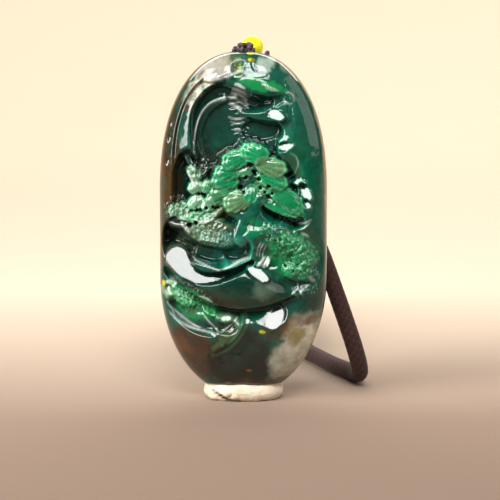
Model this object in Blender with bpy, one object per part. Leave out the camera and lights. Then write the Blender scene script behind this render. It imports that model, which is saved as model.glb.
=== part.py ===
"""Jade landscape pendant standing in a ring of putty, with its bead and neck cord.

Metres, +Z up, the carved face looks along -Y. The origin is under the middle of the putty ring.
"""
from math import cos, pi, radians, sin

import bmesh
import bpy
import numpy as np
from mathutils import Matrix, Vector

# The stone
pendant_width = 0.033
pendant_height = 0.0684
pendant_thickness = 0.0142
tip_height = 0.0004
top_round = 0.41
foot_round = 0.35
top_power = 2.3
foot_power = 2.05
side_power = 2.7
section_power = 2.6
least_wall = 0.003

# The carving is drawn on a sheet of this many units, which stretches with the stone
sheet_width = 33.0
sheet_height = 68.4
sheet_depth = 14.2

# Mesh of the stone
columns = 150
rows = 190
front_share = 0.8
kept_triangles = 6700

# Thread, bead and the hole that the thread passes through
thread_diameter = 0.0009
thread_clearance = 0.0003
bead_diameter = 0.0045
bead_across = 0.0017
bead_back = 0.0032
mouth_left = -0.0021
mouth_right = 0.0048
tunnel_dip = 0.0026
knot_across = 0.0004
knot_back = 0.0009
knot_width = 0.0038
knot_depth = 0.0023
knot_height = 0.0015
knot_lump = 1.13

# Neck cord and its binding
cord_diameter = 0.0035
collar_height = 0.0045
collar_wall = 0.0006
collar_drop = 0.0044
hank_length = 0.052
hank_bend = 0.0070
hank_turns = 4
hank_near = 0.0345
hank_across = 0.0008
tie_width = 0.0026
tie_thickness = 0.0005

# Putty ring
ring_width = 0.0158
ring_depth = 0.0118
ring_stock = 0.0035
ring_sink = 0.00025

gap = 0.0003


def ease(share):
    share = np.clip(share, 0.0, 1.0)
    return share * share * (3.0 - 2.0 * share)


def outline_at(height):
    """Half width and half depth of the uncarved stone at a height above its tip."""
    top = pendant_height * top_round
    foot = pendant_height * foot_round
    above = np.clip((height - pendant_height + top) / top, 0.0, 1.0)
    below = np.clip((foot - height) / foot, 0.0, 1.0)
    power = np.where(above > 0.0, top_power, foot_power)
    away = np.maximum(above, below)
    half_width = pendant_width / 2 * (1.0 - away**power) ** (1.0 / power)
    half_depth = pendant_thickness / 2 * (1.0 - away**side_power) ** (1.0 / side_power)
    return half_width, half_depth


def half_depth_at(across, height):
    """Distance from the middle plane to the uncarved surface."""
    half_width, half_depth = outline_at(height)
    share = np.clip(np.abs(across) / np.maximum(half_width, 1e-9), 0.0, 1.0)
    return half_depth * (1.0 - share**section_power) ** (1.0 / section_power)


def height_of_surface(across, back):
    """Highest point of the stone above a place on the table."""
    heights = np.linspace(pendant_height / 2, pendant_height, 4000)
    half_width, _ = outline_at(heights)
    covered = (half_depth_at(across, heights) >= abs(back)) & (half_width > abs(across))
    return tip_height + heights[covered][-1]


def oval(across, up, form):
    """0 at the middle of a tilted oval, 1 at its edge."""
    turn = radians(form["turn"])
    along = (across - form["across"]) * cos(turn) + (up - form["up"]) * sin(turn)
    aside = (up - form["up"]) * cos(turn) - (across - form["across"]) * sin(turn)
    power = form.get("power", 2.2)
    reach = (np.abs(along) / form["long"]) ** power + (np.abs(aside) / form["short"]) ** power
    return reach ** (1.0 / power)


def bend(across, up, start, middle, end, steps=30):
    """Distance to a bent line through three places, the share along it, and the side (1 is left)."""
    share = np.linspace(0.0, 1.0, steps + 1)
    pull = [2 * m - (a + b) / 2 for a, m, b in zip(start, middle, end)]
    line = [(1 - share) ** 2 * a + 2 * share * (1 - share) * p + share**2 * b
            for a, p, b in zip(start, pull, end)]
    nearest = np.full(across.shape, 1e9)
    along = np.zeros(across.shape)
    side = np.ones(across.shape)
    for step in range(steps):
        ax, ay = line[0][step], line[1][step]
        dx, dy = line[0][step + 1] - ax, line[1][step + 1] - ay
        run = np.clip(((across - ax) * dx + (up - ay) * dy) / (dx * dx + dy * dy), 0.0, 1.0)
        off_x, off_y = across - ax - run * dx, up - ay - run * dy
        distance = np.hypot(off_x, off_y)
        closer = distance < nearest
        nearest = np.where(closer, distance, nearest)
        along = np.where(closer, (step + run) / steps, along)
        side = np.where(closer, np.sign(dx * off_y - dy * off_x), side)
    return nearest, along, side


# Hollows and pads: across and up from the tip, half sizes, tilt in degrees, level below the
# surface, and the width of a hollow's wall or the drop of a pad towards its edge
form_fields = ("across", "up", "long", "short", "turn", "level", "edge")
hollows = {
    "sky": (-3.0, 53.2, 8.7, 10.4, 0, 3.2, 1.7),
    "inner_sky": (-0.8, 51.2, 7.8, 9.4, 0, 3.8, 0.8),
    "upper_cave": (2.6, 59.2, 4.6, 2.4, -8, 4.8, 0.8),
    "lower_cave": (3.6, 53.2, 5.2, 2.6, 0, 4.8, 0.8),
    "behind_canopy": (0.2, 43.4, 11.6, 8.4, -22, 3.2, 1.6),
    "beside_canopy": (9.2, 43.6, 3.2, 6.4, 10, 1.4, 2.6),
    "left_valley": (-10.4, 41.0, 3.8, 9.6, 4, 3.9, 1.4),
    "left_void": (-12.2, 31.6, 4.0, 5.6, 0, 4.4, 1.3),
    "behind_slab": (-5.6, 35.6, 7.0, 3.6, -8, 3.0, 1.2),
    "right_cave": (7.6, 36.2, 5.0, 2.2, -16, 3.6, 0.9),
    "round_cave": (-0.3, 30.5, 3.3, 3.1, 0, 4.5, 1.0),
    "over_the_ledge": (-5.6, 29.2, 6.8, 3.0, -12, 3.9, 1.1),
    "under_the_ledge": (-14.0, 25.0, 2.4, 1.5, -45, 2.8, 1.0),
    "beside_trunk": (8.8, 28.4, 7.8, 7.4, -25, 1.0, 2.4),
    "garden": (-9.4, 17.6, 6.6, 3.6, -26, 1.8, 1.2),
    "bank": (-3.9, 15.6, 3.2, 2.4, -20, 1.3, 1.1),
}
pads = {
    "cloud": (2.4, 62.4, 5.8, 1.7, -13, -0.1, 0.4),
    "summit": (4.4, 65.0, 2.6, 1.7, -14, -0.4, 0.5),
    "bough_top": (2.4, 48.6, 3.3, 1.9, -12, 0.1, 0.8),
    "bough_upper_left": (-1.0, 46.3, 3.0, 1.8, 20, 0.4, 0.8),
    "bough_left": (-3.5, 43.8, 3.3, 1.8, 14, 0.3, 0.8),
    "bough_far_left": (-6.9, 42.2, 1.9, 1.6, 0, 0.9, 0.8),
    "bough_lower_left": (-1.6, 40.2, 3.3, 1.9, 24, 0.2, 1.0),
    "bough_heart": (1.7, 44.0, 2.4, 2.4, 0, 0.8, 0.6),
    "bough_upper_right": (5.4, 46.4, 3.1, 1.6, -22, 0.3, 0.8),
    "bough_right": (5.7, 43.6, 2.9, 1.5, -32, 0.2, 0.8),
    "bough_far_right": (8.1, 40.3, 5.0, 1.7, -40, -0.2, 0.8),
    "bough_low": (4.4, 40.6, 2.4, 1.3, -35, 0.6, 0.7),
    "shrub_top": (-9.6, 44.6, 1.3, 2.0, 35, 1.9, 0.9),
    "shrub_upper": (-9.2, 41.9, 1.6, 1.3, 15, 1.4, 0.8),
    "shrub_middle": (-7.6, 39.5, 2.0, 1.5, 10, 1.0, 0.9),
    "shrub_left": (-13.0, 38.0, 2.0, 1.6, 10, 1.6, 0.9),
    "shrub_low": (-9.4, 36.9, 3.4, 1.1, 4, 0.8, 0.6),
    "slab": (-6.7, 33.4, 5.2, 2.6, -14, 0.7, 0.5),
    "trunk": (1.8, 35.8, 4.4, 3.4, -10, 0.2, 1.0),
    "root": (5.4, 32.4, 2.4, 4.4, 30, 0.5, 0.9),
    "grove_top": (6.4, 33.6, 2.6, 1.6, -10, 0.0, 0.7),
    "grove_middle": (9.6, 31.2, 2.9, 1.8, -22, -0.1, 0.7),
    "grove_right": (12.2, 28.2, 2.6, 1.9, -25, 0.0, 0.7),
    "grove_low": (11.0, 25.4, 3.4, 1.7, -14, -0.2, 0.8),
    "garden_tree": (-11.8, 20.6, 2.7, 1.7, -38, 0.4, 0.9),
    "roof": (-7.3, 19.2, 2.4, 1.3, -26, 0.3, 0.8),
    "terrace": (-6.2, 16.6, 2.9, 1.1, -26, 0.9, 0.5),
}
pad_slope = 1.7
ledge_lean = 0.53
swell_raise = 0.6


def carving(across, up):
    """Depth below the uncarved surface, in sheet units."""
    depth = np.zeros(across.shape)
    for numbers in hollows.values():
        hollow = dict(zip(form_fields, numbers))
        inside = (1.0 - oval(across, up, hollow)) * min(hollow["long"], hollow["short"])
        depth = np.maximum(depth, hollow["level"] * ease(inside / hollow["edge"]))
    depth = carve_rind(across, up, depth)
    depth = carve_ridge_between_caves(across, up, depth)
    for numbers in pads.values():
        pad = dict(zip(form_fields, numbers))
        reach = oval(across, up, pad)
        outside = np.maximum(reach - 1.0, 0.0) * min(pad["long"], pad["short"])
        top = pad["level"] + pad["edge"] * np.minimum(reach, 1.0) ** 2
        depth = np.minimum(depth, top + outside * pad_slope)
    depth = carve_branch(across, up, depth)
    depth = carve_swell(across, up, depth)
    depth = carve_ledge(across, up, depth)
    return carve_banks(across, up, depth)


def carve_ridge_between_caves(across, up, depth):
    distance, along, _ = bend(across, up, (-0.4, 56.7), (3.6, 56.2), (8.4, 57.0))
    half = 0.3 + 1.5 * along**2
    return np.minimum(depth, 3.0 - 2.5 * along + np.maximum(distance - half, 0.0) * pad_slope)


def carve_branch(across, up, depth):
    distance, _, _ = bend(across, up, (-15.0, 35.4), (-10.5, 35.0), (-4.4, 37.9))
    return np.minimum(depth, 1.1 + np.maximum(distance - 0.6, 0.0) * pad_slope)


def carve_ledge(across, up, depth):
    """The long pale ledge: one plane that leans back over the round mass, wide on the left."""
    distance, along, _ = bend(across, up, (-13.0, 28.2), (-7.4, 24.6), (1.6, 27.6))
    half = 2.2 - 1.7 * along**0.8
    top = 0.9 + ledge_lean * (up - 24.6)
    depth = np.minimum(depth, top + np.maximum(distance - half, 0.0) * pad_slope)
    within = ease((half - distance) / 0.5 + 0.5)
    return depth + (np.maximum(depth, top) - depth) * within


def carve_swell(across, up, depth):
    """The full round mass under the ledge, and the undercut below it."""
    distance, along, side = bend(across, up, (-14.2, 24.2), (-2.6, 17.9), (10.2, 20.6))
    deepest = 2.8 * np.sin(pi * np.clip(0.04 + 0.92 * along, 0.0, 1.0)) ** 0.6
    wall = np.where(side > 0, ease(1.0 - distance / 1.1), ease(1.0 - distance / 3.2))
    depth = np.maximum(depth, deepest * wall)
    swell = dict(zip(form_fields, (-0.6, 22.6, 10.4, 4.2, -6, 0.0, 0.0)))
    return depth - swell_raise * ease(1.2 * (1.0 - oval(across, up, swell)))


def carve_rind(across, up, depth):
    """The groove that parts the brown rind from the scene on the left."""
    distance, along, _ = bend(across, up, (-10.0, 60.4), (-13.2, 47.5), (-12.6, 31.0))
    return np.maximum(depth, 1.6 * ease(1.0 - distance / 0.9) * ease(6.0 * along + 0.2))


def carve_banks(across, up, depth):
    """Shallow steps of the river bank and the cliff at the foot."""
    distance, along, side = bend(across, up, (-14.6, 20.6), (-11.2, 14.8), (-4.6, 13.2))
    inner = np.where(side > 0, ease(1.0 - distance / 2.4), ease(1.0 - distance / 0.4))
    depth = depth + 0.6 * inner * ease(8.0 * along) * ease(8.0 * (1.0 - along))
    distance, along, side = bend(across, up, (0.6, 17.6), (-1.4, 12.2), (-7.4, 8.6))
    beyond = np.where(side > 0, ease(1.0 - distance / 5.0), ease(1.0 - distance / 0.5))
    return depth + 0.9 * beyond * ease(5.0 * along) * ease(5.0 * (1.0 - along))


def section_table():
    """Turn around the section against the share of its mesh columns, most of them in front."""
    turn = np.linspace(-pi, pi, 4001)
    x = pendant_width / 2 * np.sign(np.cos(turn)) * np.abs(np.cos(turn)) ** (2 / section_power)
    y = pendant_thickness / 2 * np.sign(np.sin(turn)) * np.abs(np.sin(turn)) ** (2 / section_power)
    steps = np.hypot(np.diff(x), np.diff(y))
    in_front = turn[1:] < 0.0
    steps[in_front] *= front_share / steps[in_front].sum()
    steps[~in_front] *= (1.0 - front_share) / steps[~in_front].sum()
    return np.concatenate([[0.0], np.cumsum(steps)]), turn


def height_table():
    """Height above the tip against the share of the outline's length."""
    turn = np.linspace(0.0, pi, 2001)
    heights = pendant_height * (1.0 - np.cos(turn)) / 2
    half_width, _ = outline_at(heights)
    steps = np.hypot(np.diff(half_width), np.diff(heights))
    return np.concatenate([[0.0], np.cumsum(steps)]) / steps.sum(), heights


def stone_places(directions):
    """Move the points of a round ball onto the uncarved stone."""
    row = np.arccos(np.clip(-directions[:, 2], -1.0, 1.0)) / pi
    column = np.arctan2(directions[:, 1], directions[:, 0]) / (2 * pi) + 0.5
    shares, heights = height_table()
    height = np.interp(row, shares, heights)
    shares, turns = section_table()
    turn = np.interp(column, shares, turns)
    half_width, half_depth = outline_at(height)
    x = half_width * np.sign(np.cos(turn)) * np.abs(np.cos(turn)) ** (2 / section_power)
    y = half_depth * np.sign(np.sin(turn)) * np.abs(np.sin(turn)) ** (2 / section_power)
    return np.stack([x, y, height + tip_height], axis=1)


def ball_mesh(name, segments, rings):
    mesh = bpy.data.meshes.new(name)
    shape = bmesh.new()
    bmesh.ops.create_uvsphere(shape, u_segments=segments, v_segments=rings, radius=1.0)
    shape.to_mesh(mesh)
    shape.free()
    return mesh


def read_places(mesh):
    places = np.empty(len(mesh.vertices) * 3)
    mesh.vertices.foreach_get("co", places)
    return places.reshape(-1, 3)


def write_places(mesh, places):
    mesh.vertices.foreach_set("co", places.ravel())
    mesh.update()


def material(name, colour, roughness):
    """A plain Principled material."""
    made = bpy.data.materials.new(name)
    made.use_nodes = True
    shader = made.node_tree.nodes["Principled BSDF"]
    shader.inputs["Base Color"].default_value = (*colour, 1.0)
    shader.inputs["Roughness"].default_value = roughness
    shader.inputs["Metallic"].default_value = 0.0
    made.diffuse_color = (*colour, 1.0)
    return made


def add_object(name, data, collection):
    made = bpy.data.objects.new(name, data)
    collection.objects.link(made)
    return made


def evaluated_mesh(thing):
    """The object's mesh with its modifiers, with loose caps welded."""
    bpy.context.view_layer.update()
    graph = bpy.context.evaluated_depsgraph_get()
    mesh = bpy.data.meshes.new_from_object(thing.evaluated_get(graph), depsgraph=graph)
    shape = bmesh.new()
    shape.from_mesh(mesh)
    bmesh.ops.remove_doubles(shape, verts=shape.verts, dist=0.000001)
    shape.to_mesh(mesh)
    shape.free()
    return mesh


def as_mesh(thing, name, collection):
    """Replace a curve by the mesh that it makes."""
    made = add_object(name, evaluated_mesh(thing), collection)
    made.matrix_world = thing.matrix_world
    bpy.data.objects.remove(thing, do_unlink=True)
    return made


def add_boolean(thing, other, operation):
    cut = thing.modifiers.new(other.name, "BOOLEAN")
    cut.operation = operation
    cut.solver = "EXACT"
    cut.object = other


def hide_cutter(thing):
    thing.hide_render = True
    thing.display_type = "WIRE"


def smooth_route(route, spacing):
    """Even steps along a smooth curve through the route's own points."""
    points = [Vector(place) for place in route]
    fine = []
    for index in range(len(points) - 1):
        before = points[max(index - 1, 0)]
        start, end = points[index], points[index + 1]
        after = points[min(index + 2, len(points) - 1)]
        for step in range(16):
            t = step / 16
            fine.append(0.5 * (2 * start + (end - before) * t
                               + (2 * before - 5 * start + 4 * end - after) * t**2
                               + (3 * start - before - 3 * end + after) * t**3))
    fine.append(points[-1])
    fine = np.array(fine)
    run = np.concatenate([[0.0], np.cumsum(np.linalg.norm(np.diff(fine, axis=0), axis=1))])
    count = max(2, round(run[-1] / spacing)) + 1
    even = np.linspace(0.0, run[-1], count)
    return np.stack([np.interp(even, run, fine[:, axis]) for axis in range(3)], axis=1)


def tube(name, places, diameter, collection, closed=False):
    """A round bar along a line of points."""
    curve = bpy.data.curves.new(name, "CURVE")
    curve.dimensions = "3D"
    curve.bevel_depth = diameter / 2
    curve.bevel_resolution = 2
    curve.use_fill_caps = not closed
    line = curve.splines.new("POLY")
    line.points.add(len(places) - 1)
    for point, place in zip(line.points, places):
        point.co = (*place, 1.0)
    line.use_cyclic_u = closed
    return add_object(name, curve, collection)


def round_ended(length, width, steps=10):
    """Corner places of a flat outline with two round ends, its length along Y."""
    radius = width / 2
    places = []
    for centre, first in ((length / 2 - radius, 0.0), (radius - length / 2, pi)):
        for step in range(steps + 1):
            turn = first + pi * step / steps
            places.append((radius * cos(turn), centre + radius * sin(turn)))
    return places


def box_outline(width, height):
    return [(width / 2, height / 2), (-width / 2, height / 2),
            (-width / 2, -height / 2), (width / 2, -height / 2)]


def extruded(name, outlines, thickness, collection):
    """A flat outline, with its holes, extruded about its own plane."""
    curve = bpy.data.curves.new(name, "CURVE")
    curve.dimensions = "2D"
    curve.fill_mode = "BOTH"
    curve.extrude = thickness / 2
    for outline in outlines:
        line = curve.splines.new("POLY")
        line.points.add(len(outline) - 1)
        for point, place in zip(line.points, outline):
            point.co = (*place, 0.0, 1.0)
        line.use_cyclic_u = True
    return add_object(name, curve, collection)


def tunnel_route():
    """Bent hole under the top of the stone, from the left mouth to the right one."""
    left_top = height_of_surface(mouth_left, 0.0)
    right_top = height_of_surface(mouth_right, 0.0)
    middle = (mouth_left + mouth_right) / 2
    reach = thread_diameter
    return [
        (mouth_left - reach * 0.4, 0.0, left_top + reach),
        (mouth_left + 0.0003, 0.0, left_top - tunnel_dip * 0.55),
        (middle, 0.0, min(left_top, right_top) - tunnel_dip),
        (mouth_right - 0.0005, 0.0, right_top - tunnel_dip * 0.5),
        (mouth_right + reach * 0.5, 0.0, right_top + reach),
    ]


def bead_place():
    """Middle of the bead, resting on the back of the stone's top edge."""
    radius = bead_diameter / 2 + gap
    back = bead_back
    seat = height_of_surface(bead_across, back)
    near = height_of_surface(bead_across, back - 0.0004)
    slope = Vector((0.0, near - seat, 0.0004)).normalized()
    return Vector((bead_across, back, seat)) + slope * radius


def make_pendant(collection, cutters):
    mesh = ball_mesh("jade_pendant", columns, rows)
    places = stone_places(read_places(mesh))
    height = places[:, 2] - tip_height
    across = places[:, 0] / pendant_width * sheet_width
    up = height / pendant_height * sheet_height
    half_depth = half_depth_at(places[:, 0], height)
    keep = ease((half_depth / (pendant_thickness / 2) - 0.25) / 0.35)
    depth = carving(across, up) * pendant_thickness / sheet_depth * keep
    depth = np.minimum(depth, np.maximum(2 * half_depth - least_wall, 0.0))
    front = places[:, 1] < 0.0
    places[front, 1] += depth[front]
    write_places(mesh, places)
    pendant = add_object("jade_pendant", mesh, collection)
    thin = pendant.modifiers.new("fewer_faces", "DECIMATE")
    thin.ratio = kept_triangles / (2 * columns * (rows - 1))
    bore = thread_diameter + 2 * thread_clearance
    drill = tube("tunnel_curve", smooth_route(tunnel_route(), bore * 0.5), bore, cutters)
    drill = as_mesh(drill, "tunnel", cutters)
    hide_cutter(drill)
    add_boolean(pendant, drill, "DIFFERENCE")
    pendant.data.materials.append(material("jade", (0.02, 0.16, 0.09), 0.12))
    return pendant


def knot_place():
    """Middle of the knot, on the top edge of the stone in front of the bead."""
    top = max(height_of_surface(knot_across + side * knot_width / 2, 0.0) for side in (-0.5, 0.0, 0.5))
    return Vector((knot_across, knot_back, top + gap + knot_height * knot_lump / 2))


def bead_axis():
    """The bore runs from the knot straight through the bead."""
    return (bead_place() - knot_place()).normalized()


def turned_along(direction):
    return direction.to_track_quat("Z", "Y").to_matrix().to_4x4()


def make_bead(collection, cutters):
    mesh = ball_mesh("yellow_bead", 18, 10)
    mesh.transform(Matrix.Scale(bead_diameter / 2, 4))
    mesh.shade_smooth()
    bead = add_object("yellow_bead", mesh, collection)
    bead.matrix_world = Matrix.Translation(bead_place()) @ turned_along(bead_axis())
    bore = bpy.data.meshes.new("bead_bore")
    shape = bmesh.new()
    radius = thread_diameter / 2 + thread_clearance
    bmesh.ops.create_cone(shape, cap_ends=True, segments=12, radius1=radius, radius2=radius,
                          depth=bead_diameter * 1.5)
    shape.to_mesh(bore)
    shape.free()
    drill = add_object("bead_bore", bore, cutters)
    drill.matrix_world = bead.matrix_world
    hide_cutter(drill)
    add_boolean(bead, drill, "DIFFERENCE")
    bead.data.materials.append(material("yellow_glass", (0.9, 0.75, 0.01), 0.1))
    return bead


def collar_place():
    """Middle of the binding that joins the thread and both ends of the neck cord."""
    depth = cord_diameter + 2 * collar_wall
    top = tip_height + pendant_height - collar_drop
    return Vector((bead_across, pendant_thickness / 2 + gap + depth / 2, top - collar_height / 2))


def make_thread(collection, cutters):
    """Thread through the stone, its knot, the run through the bead and down to the binding."""
    bead = bead_place()
    axis = bead_axis()
    radius = bead_diameter / 2
    knot = knot_place()
    behind = bead + axis * (radius + 0.0007)
    collar = collar_place()
    binding = collar + Vector((0.0, 0.0, collar_height / 2 + gap))
    beside = radius + thread_diameter / 2 + gap
    bore = thread_diameter + 2 * thread_clearance
    loop = [knot, *smooth_route(tunnel_route(), bore * 0.6),
            (bead.x + beside + 0.0007, bead.y * 0.6, bead.z - 0.0002),
            (bead.x + beside - 0.0002, bead.y + 0.0012, bead.z - 0.0012),
            (binding.x + 0.0006, binding.y - 0.0004, binding.z + 0.0020)]
    through = [knot, bead, behind, (binding.x, binding.y, binding.z + 0.0020), binding]
    thread = as_mesh(tube("loop_curve", smooth_route(loop, thread_diameter * 1.3),
                          thread_diameter, collection), "bead_thread", collection)
    run = as_mesh(tube("run_curve", smooth_route(through, thread_diameter * 1.5),
                       thread_diameter, cutters), "thread_run", cutters)
    mesh = ball_mesh("knot", 12, 8)
    places = read_places(mesh)
    lumps = 1.0 + (knot_lump - 1.0) * np.sin(5 * places[:, 0] + 4 * places[:, 2]) * np.cos(6 * places[:, 1])
    write_places(mesh, places * lumps[:, None] * np.array([knot_width, knot_depth, knot_height]) / 2)
    lump = add_object("knot", mesh, cutters)
    lump.location = knot
    for other in (run, lump):
        hide_cutter(other)
        add_boolean(thread, other, "UNION")
    thread.data.materials.append(material("thread", (0.035, 0.012, 0.02), 0.75))
    return thread


def make_collar(collection):
    width = 2 * cord_diameter + gap + 2 * collar_wall
    depth = cord_diameter + 2 * collar_wall
    collar = extruded("cord_collar", [round_ended(width, depth)], collar_height, collection)
    collar.matrix_world = Matrix.Translation(collar_place()) @ Matrix.Rotation(pi / 2, 4, "Z")
    collar.data.materials.append(material("binding", (0.03, 0.014, 0.012), 0.8))
    return collar


mm = 0.001
front_route = [
    (3.6, 9.75, 59.2), (3.8, 9.8, 56.0), (5.6, 9.9, 50.5), (8.1, 9.7, 44.0), (10.8, 9.1, 37.6),
    (13.3, 8.0, 33.0), (15.6, 6.6, 28.0), (18.4, 5.4, 20.5), (21.1, 4.9, 12.8), (22.4, 5.1, 8.8),
    (23.4, 6.7, 5.0), (23.6, 9.6, 2.6), (22.9, 13.0, 1.85), (21.4, 16.4, 1.8), (19.1, 20.9, 1.8),
    (15.8, 29.5, 1.8), (13.3, 36.2, 1.8), (12.0, 40.0, 1.8),
]
return_route = [
    (-0.2, 9.75, 59.2), (-0.3, 9.8, 55.5), (-0.9, 10.2, 48.0), (-1.8, 11.1, 40.0),
    (-2.8, 12.8, 32.0), (-3.9, 15.8, 25.0), (-4.9, 20.4, 19.4), (-5.6, 26.0, 16.2),
    (-6.0, 31.5, 15.0), (-6.2, 36.2, 14.7),
]


def make_cord(name, route, collection):
    places = smooth_route([Vector(place) * mm for place in route], cord_diameter * 1.1)
    cord = tube(name, places, cord_diameter, collection)
    cord.data.materials.append(material(name, (0.04, 0.02, 0.018), 0.85))
    return cord


def hank_sizes():
    width = 2 * hank_bend + cord_diameter + gap
    return width, cord_diameter * (hank_turns + 0.7)


def make_hank(collection, cutters):
    """The folded rest of the neck cord, one closed shape, narrowed where it is tied."""
    width, height = hank_sizes()
    middle = Vector((hank_across, hank_near + hank_length / 2, height / 2))
    curve = extruded("hank_curve", [round_ended(hank_length, width)], height, collection)
    curve.location = middle
    bpy.context.view_layer.update()
    hank = as_mesh(curve, "cord_hank", collection)
    groove = 2 * (tie_thickness + gap)
    upright = Matrix.Translation(middle) @ Matrix.Rotation(pi / 2, 4, "X")
    outlines = [box_outline(width * 1.2, height * 1.2), box_outline(width - groove, height - groove)]
    cutter = extruded("groove_curve", outlines, tie_width + 2 * gap, cutters)
    cutter.matrix_world = upright
    bpy.context.view_layer.update()
    cutter = as_mesh(cutter, "hank_groove", cutters)
    hide_cutter(cutter)
    add_boolean(hank, cutter, "DIFFERENCE")
    hank.data.materials.append(material("hank", (0.04, 0.02, 0.018), 0.85))
    outer = box_outline(width, height)
    inner = box_outline(width - 2 * tie_thickness, height - 2 * tie_thickness)
    tie = extruded("hank_tie", [outer, inner], tie_width, collection)
    tie.matrix_world = upright
    tie.data.materials.append(material("tie", (0.02, 0.01, 0.012), 0.8))
    return hank, tie


def make_ring(collection, cutters):
    """Hand-rolled putty, flat underneath and pressed to the stone's foot."""
    turns = np.linspace(0.0, 2 * pi, 33)[:-1]
    half_x, half_y = (ring_width - ring_stock) / 2, (ring_depth - ring_stock) / 2
    path = np.stack([half_x * np.sign(np.cos(turns)) * np.abs(np.cos(turns)) ** 0.8,
                     half_y * np.sign(np.sin(turns)) * np.abs(np.sin(turns)) ** 0.8,
                     np.zeros(len(turns))], axis=1)
    curve = tube("ring_curve", path, ring_stock, collection, closed=True)
    curve.data.bevel_resolution = 4
    ring = as_mesh(curve, "putty_ring", collection)
    places = read_places(ring.data)
    angle = np.arctan2(places[:, 1], places[:, 0])
    uneven = 1.0 + 0.05 * np.sin(3 * angle + 0.6) + 0.03 * np.sin(7 * angle)
    places[:, 2] *= np.where(places[:, 2] > 0.0, uneven, 1.0)
    places[:, 2] = np.maximum(places[:, 2] + ring_stock / 2 - ring_sink, 0.0)
    write_places(ring.data, places)
    mesh = ball_mesh("seat", 32, 40)
    write_places(mesh, stone_places(read_places(mesh)))
    seat = read_places(mesh)
    outward = np.array([tuple(vertex.normal) for vertex in mesh.vertices])
    write_places(mesh, seat + outward * (gap + 0.0001))
    cutter = add_object("seat", mesh, cutters)
    hide_cutter(cutter)
    add_boolean(ring, cutter, "DIFFERENCE")
    ring.data.materials.append(material("putty", (0.8, 0.72, 0.55), 0.7))
    return ring


def make_all():
    for thing in list(bpy.data.objects):
        bpy.data.objects.remove(thing, do_unlink=True)
    parts = bpy.data.collections.new("jade_landscape_pendant")
    cutters = bpy.data.collections.new("cutters")
    for collection in (parts, cutters):
        bpy.context.scene.collection.children.link(collection)
    make_pendant(parts, cutters)
    make_bead(parts, cutters)
    make_thread(parts, cutters)
    make_collar(parts)
    make_cord("neck_cord_front", front_route, parts)
    make_cord("neck_cord_return", return_route, parts)
    make_hank(parts, cutters)
    make_ring(parts, cutters)


make_all()
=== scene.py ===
from math import pi, radians

import bpy
import numpy as np
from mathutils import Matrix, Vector


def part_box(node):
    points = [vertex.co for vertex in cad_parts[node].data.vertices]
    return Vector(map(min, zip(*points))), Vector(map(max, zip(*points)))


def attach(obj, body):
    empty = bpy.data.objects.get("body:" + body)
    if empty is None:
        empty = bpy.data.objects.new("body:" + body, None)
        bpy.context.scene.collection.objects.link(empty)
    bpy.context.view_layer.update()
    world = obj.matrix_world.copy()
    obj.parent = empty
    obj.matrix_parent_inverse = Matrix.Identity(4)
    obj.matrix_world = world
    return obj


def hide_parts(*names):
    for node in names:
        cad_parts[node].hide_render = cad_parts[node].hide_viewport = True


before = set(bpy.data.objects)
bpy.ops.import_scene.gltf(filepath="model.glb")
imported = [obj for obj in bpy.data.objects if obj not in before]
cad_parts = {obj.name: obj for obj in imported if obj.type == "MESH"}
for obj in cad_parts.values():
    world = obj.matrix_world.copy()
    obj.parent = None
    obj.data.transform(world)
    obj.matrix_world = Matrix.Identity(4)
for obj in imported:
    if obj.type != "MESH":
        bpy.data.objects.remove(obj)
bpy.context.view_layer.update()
mm = 0.001

# The stone's size comes from the frame; the carving is drawn on a sheet that stretches with it
stoneLow, stoneHigh = (np.array(corner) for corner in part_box("jade_pendant"))
stoneWide, stoneDeep, stoneTall = stoneHigh - stoneLow
sheetWide, sheetTall, sheetDeep = 33.0, 68.4, 14.2
stone = {"topRound": 0.41, "footRound": 0.35, "topPower": 2.3, "footPower": 2.05,
         "sidePower": 2.7, "sectionPower": 2.6, "leastWall": 3.0 * mm, "plainRim": 0.25, "rimFade": 0.35,
         "columns": 262, "rows": 372, "frontShare": 0.85}


def tone(red, green, blue):
    # A colour as seen on screen, turned linear
    seen = np.array([red, green, blue]) / 255.0
    return np.where(seen <= 0.04045, seen / 12.92, ((seen + 0.055) / 1.055) ** 2.4)


def ease(share):
    # 3 s^2 - 2 s^3, flat before 0 and after 1
    share = np.clip(share, 0.0, 1.0)
    return share * share * (3.0 - 2.0 * share)


def rounded(wave, power):
    # A wave to a power with its sign kept: cos and sin then draw a rounded box
    return np.sign(wave) * np.abs(wave) ** power


latticeSize = 64  # points each way before the noise repeats


def softNoise(x, y, size, seed):
    # Smooth noise from -1 to 1 between the points of a random lattice
    lattice = np.random.default_rng(seed).uniform(-1.0, 1.0, (latticeSize, latticeSize))
    px, py = x / size, y / size
    column, row = np.floor(px).astype(int), np.floor(py).astype(int)
    fx, fy = ease(px - column), ease(py - row)
    at = lambda i, j: lattice[(row + j) % latticeSize, (column + i) % latticeSize]
    low = at(0, 0) * (1 - fx) + at(1, 0) * fx
    high = at(0, 1) * (1 - fx) + at(1, 1) * fx
    return low * (1 - fy) + high * fy


def layeredNoise(x, y, size, seed):
    # Four layers of noise, each at half the size and 1 / 1.8 of the strength
    total = 0.0
    for layer in range(4):
        noise = softNoise(x + 7.3 * layer, y - 3.1 * layer, size / 2**layer, seed + layer)
        total = total + noise / 1.8**layer
    return total / 1.9


view = {"lens": 152.9, "sensor": 36.0, "tilt": 9.0, "distance": 0.42, "target": (1.3, 0.0, 29.55)}


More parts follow.
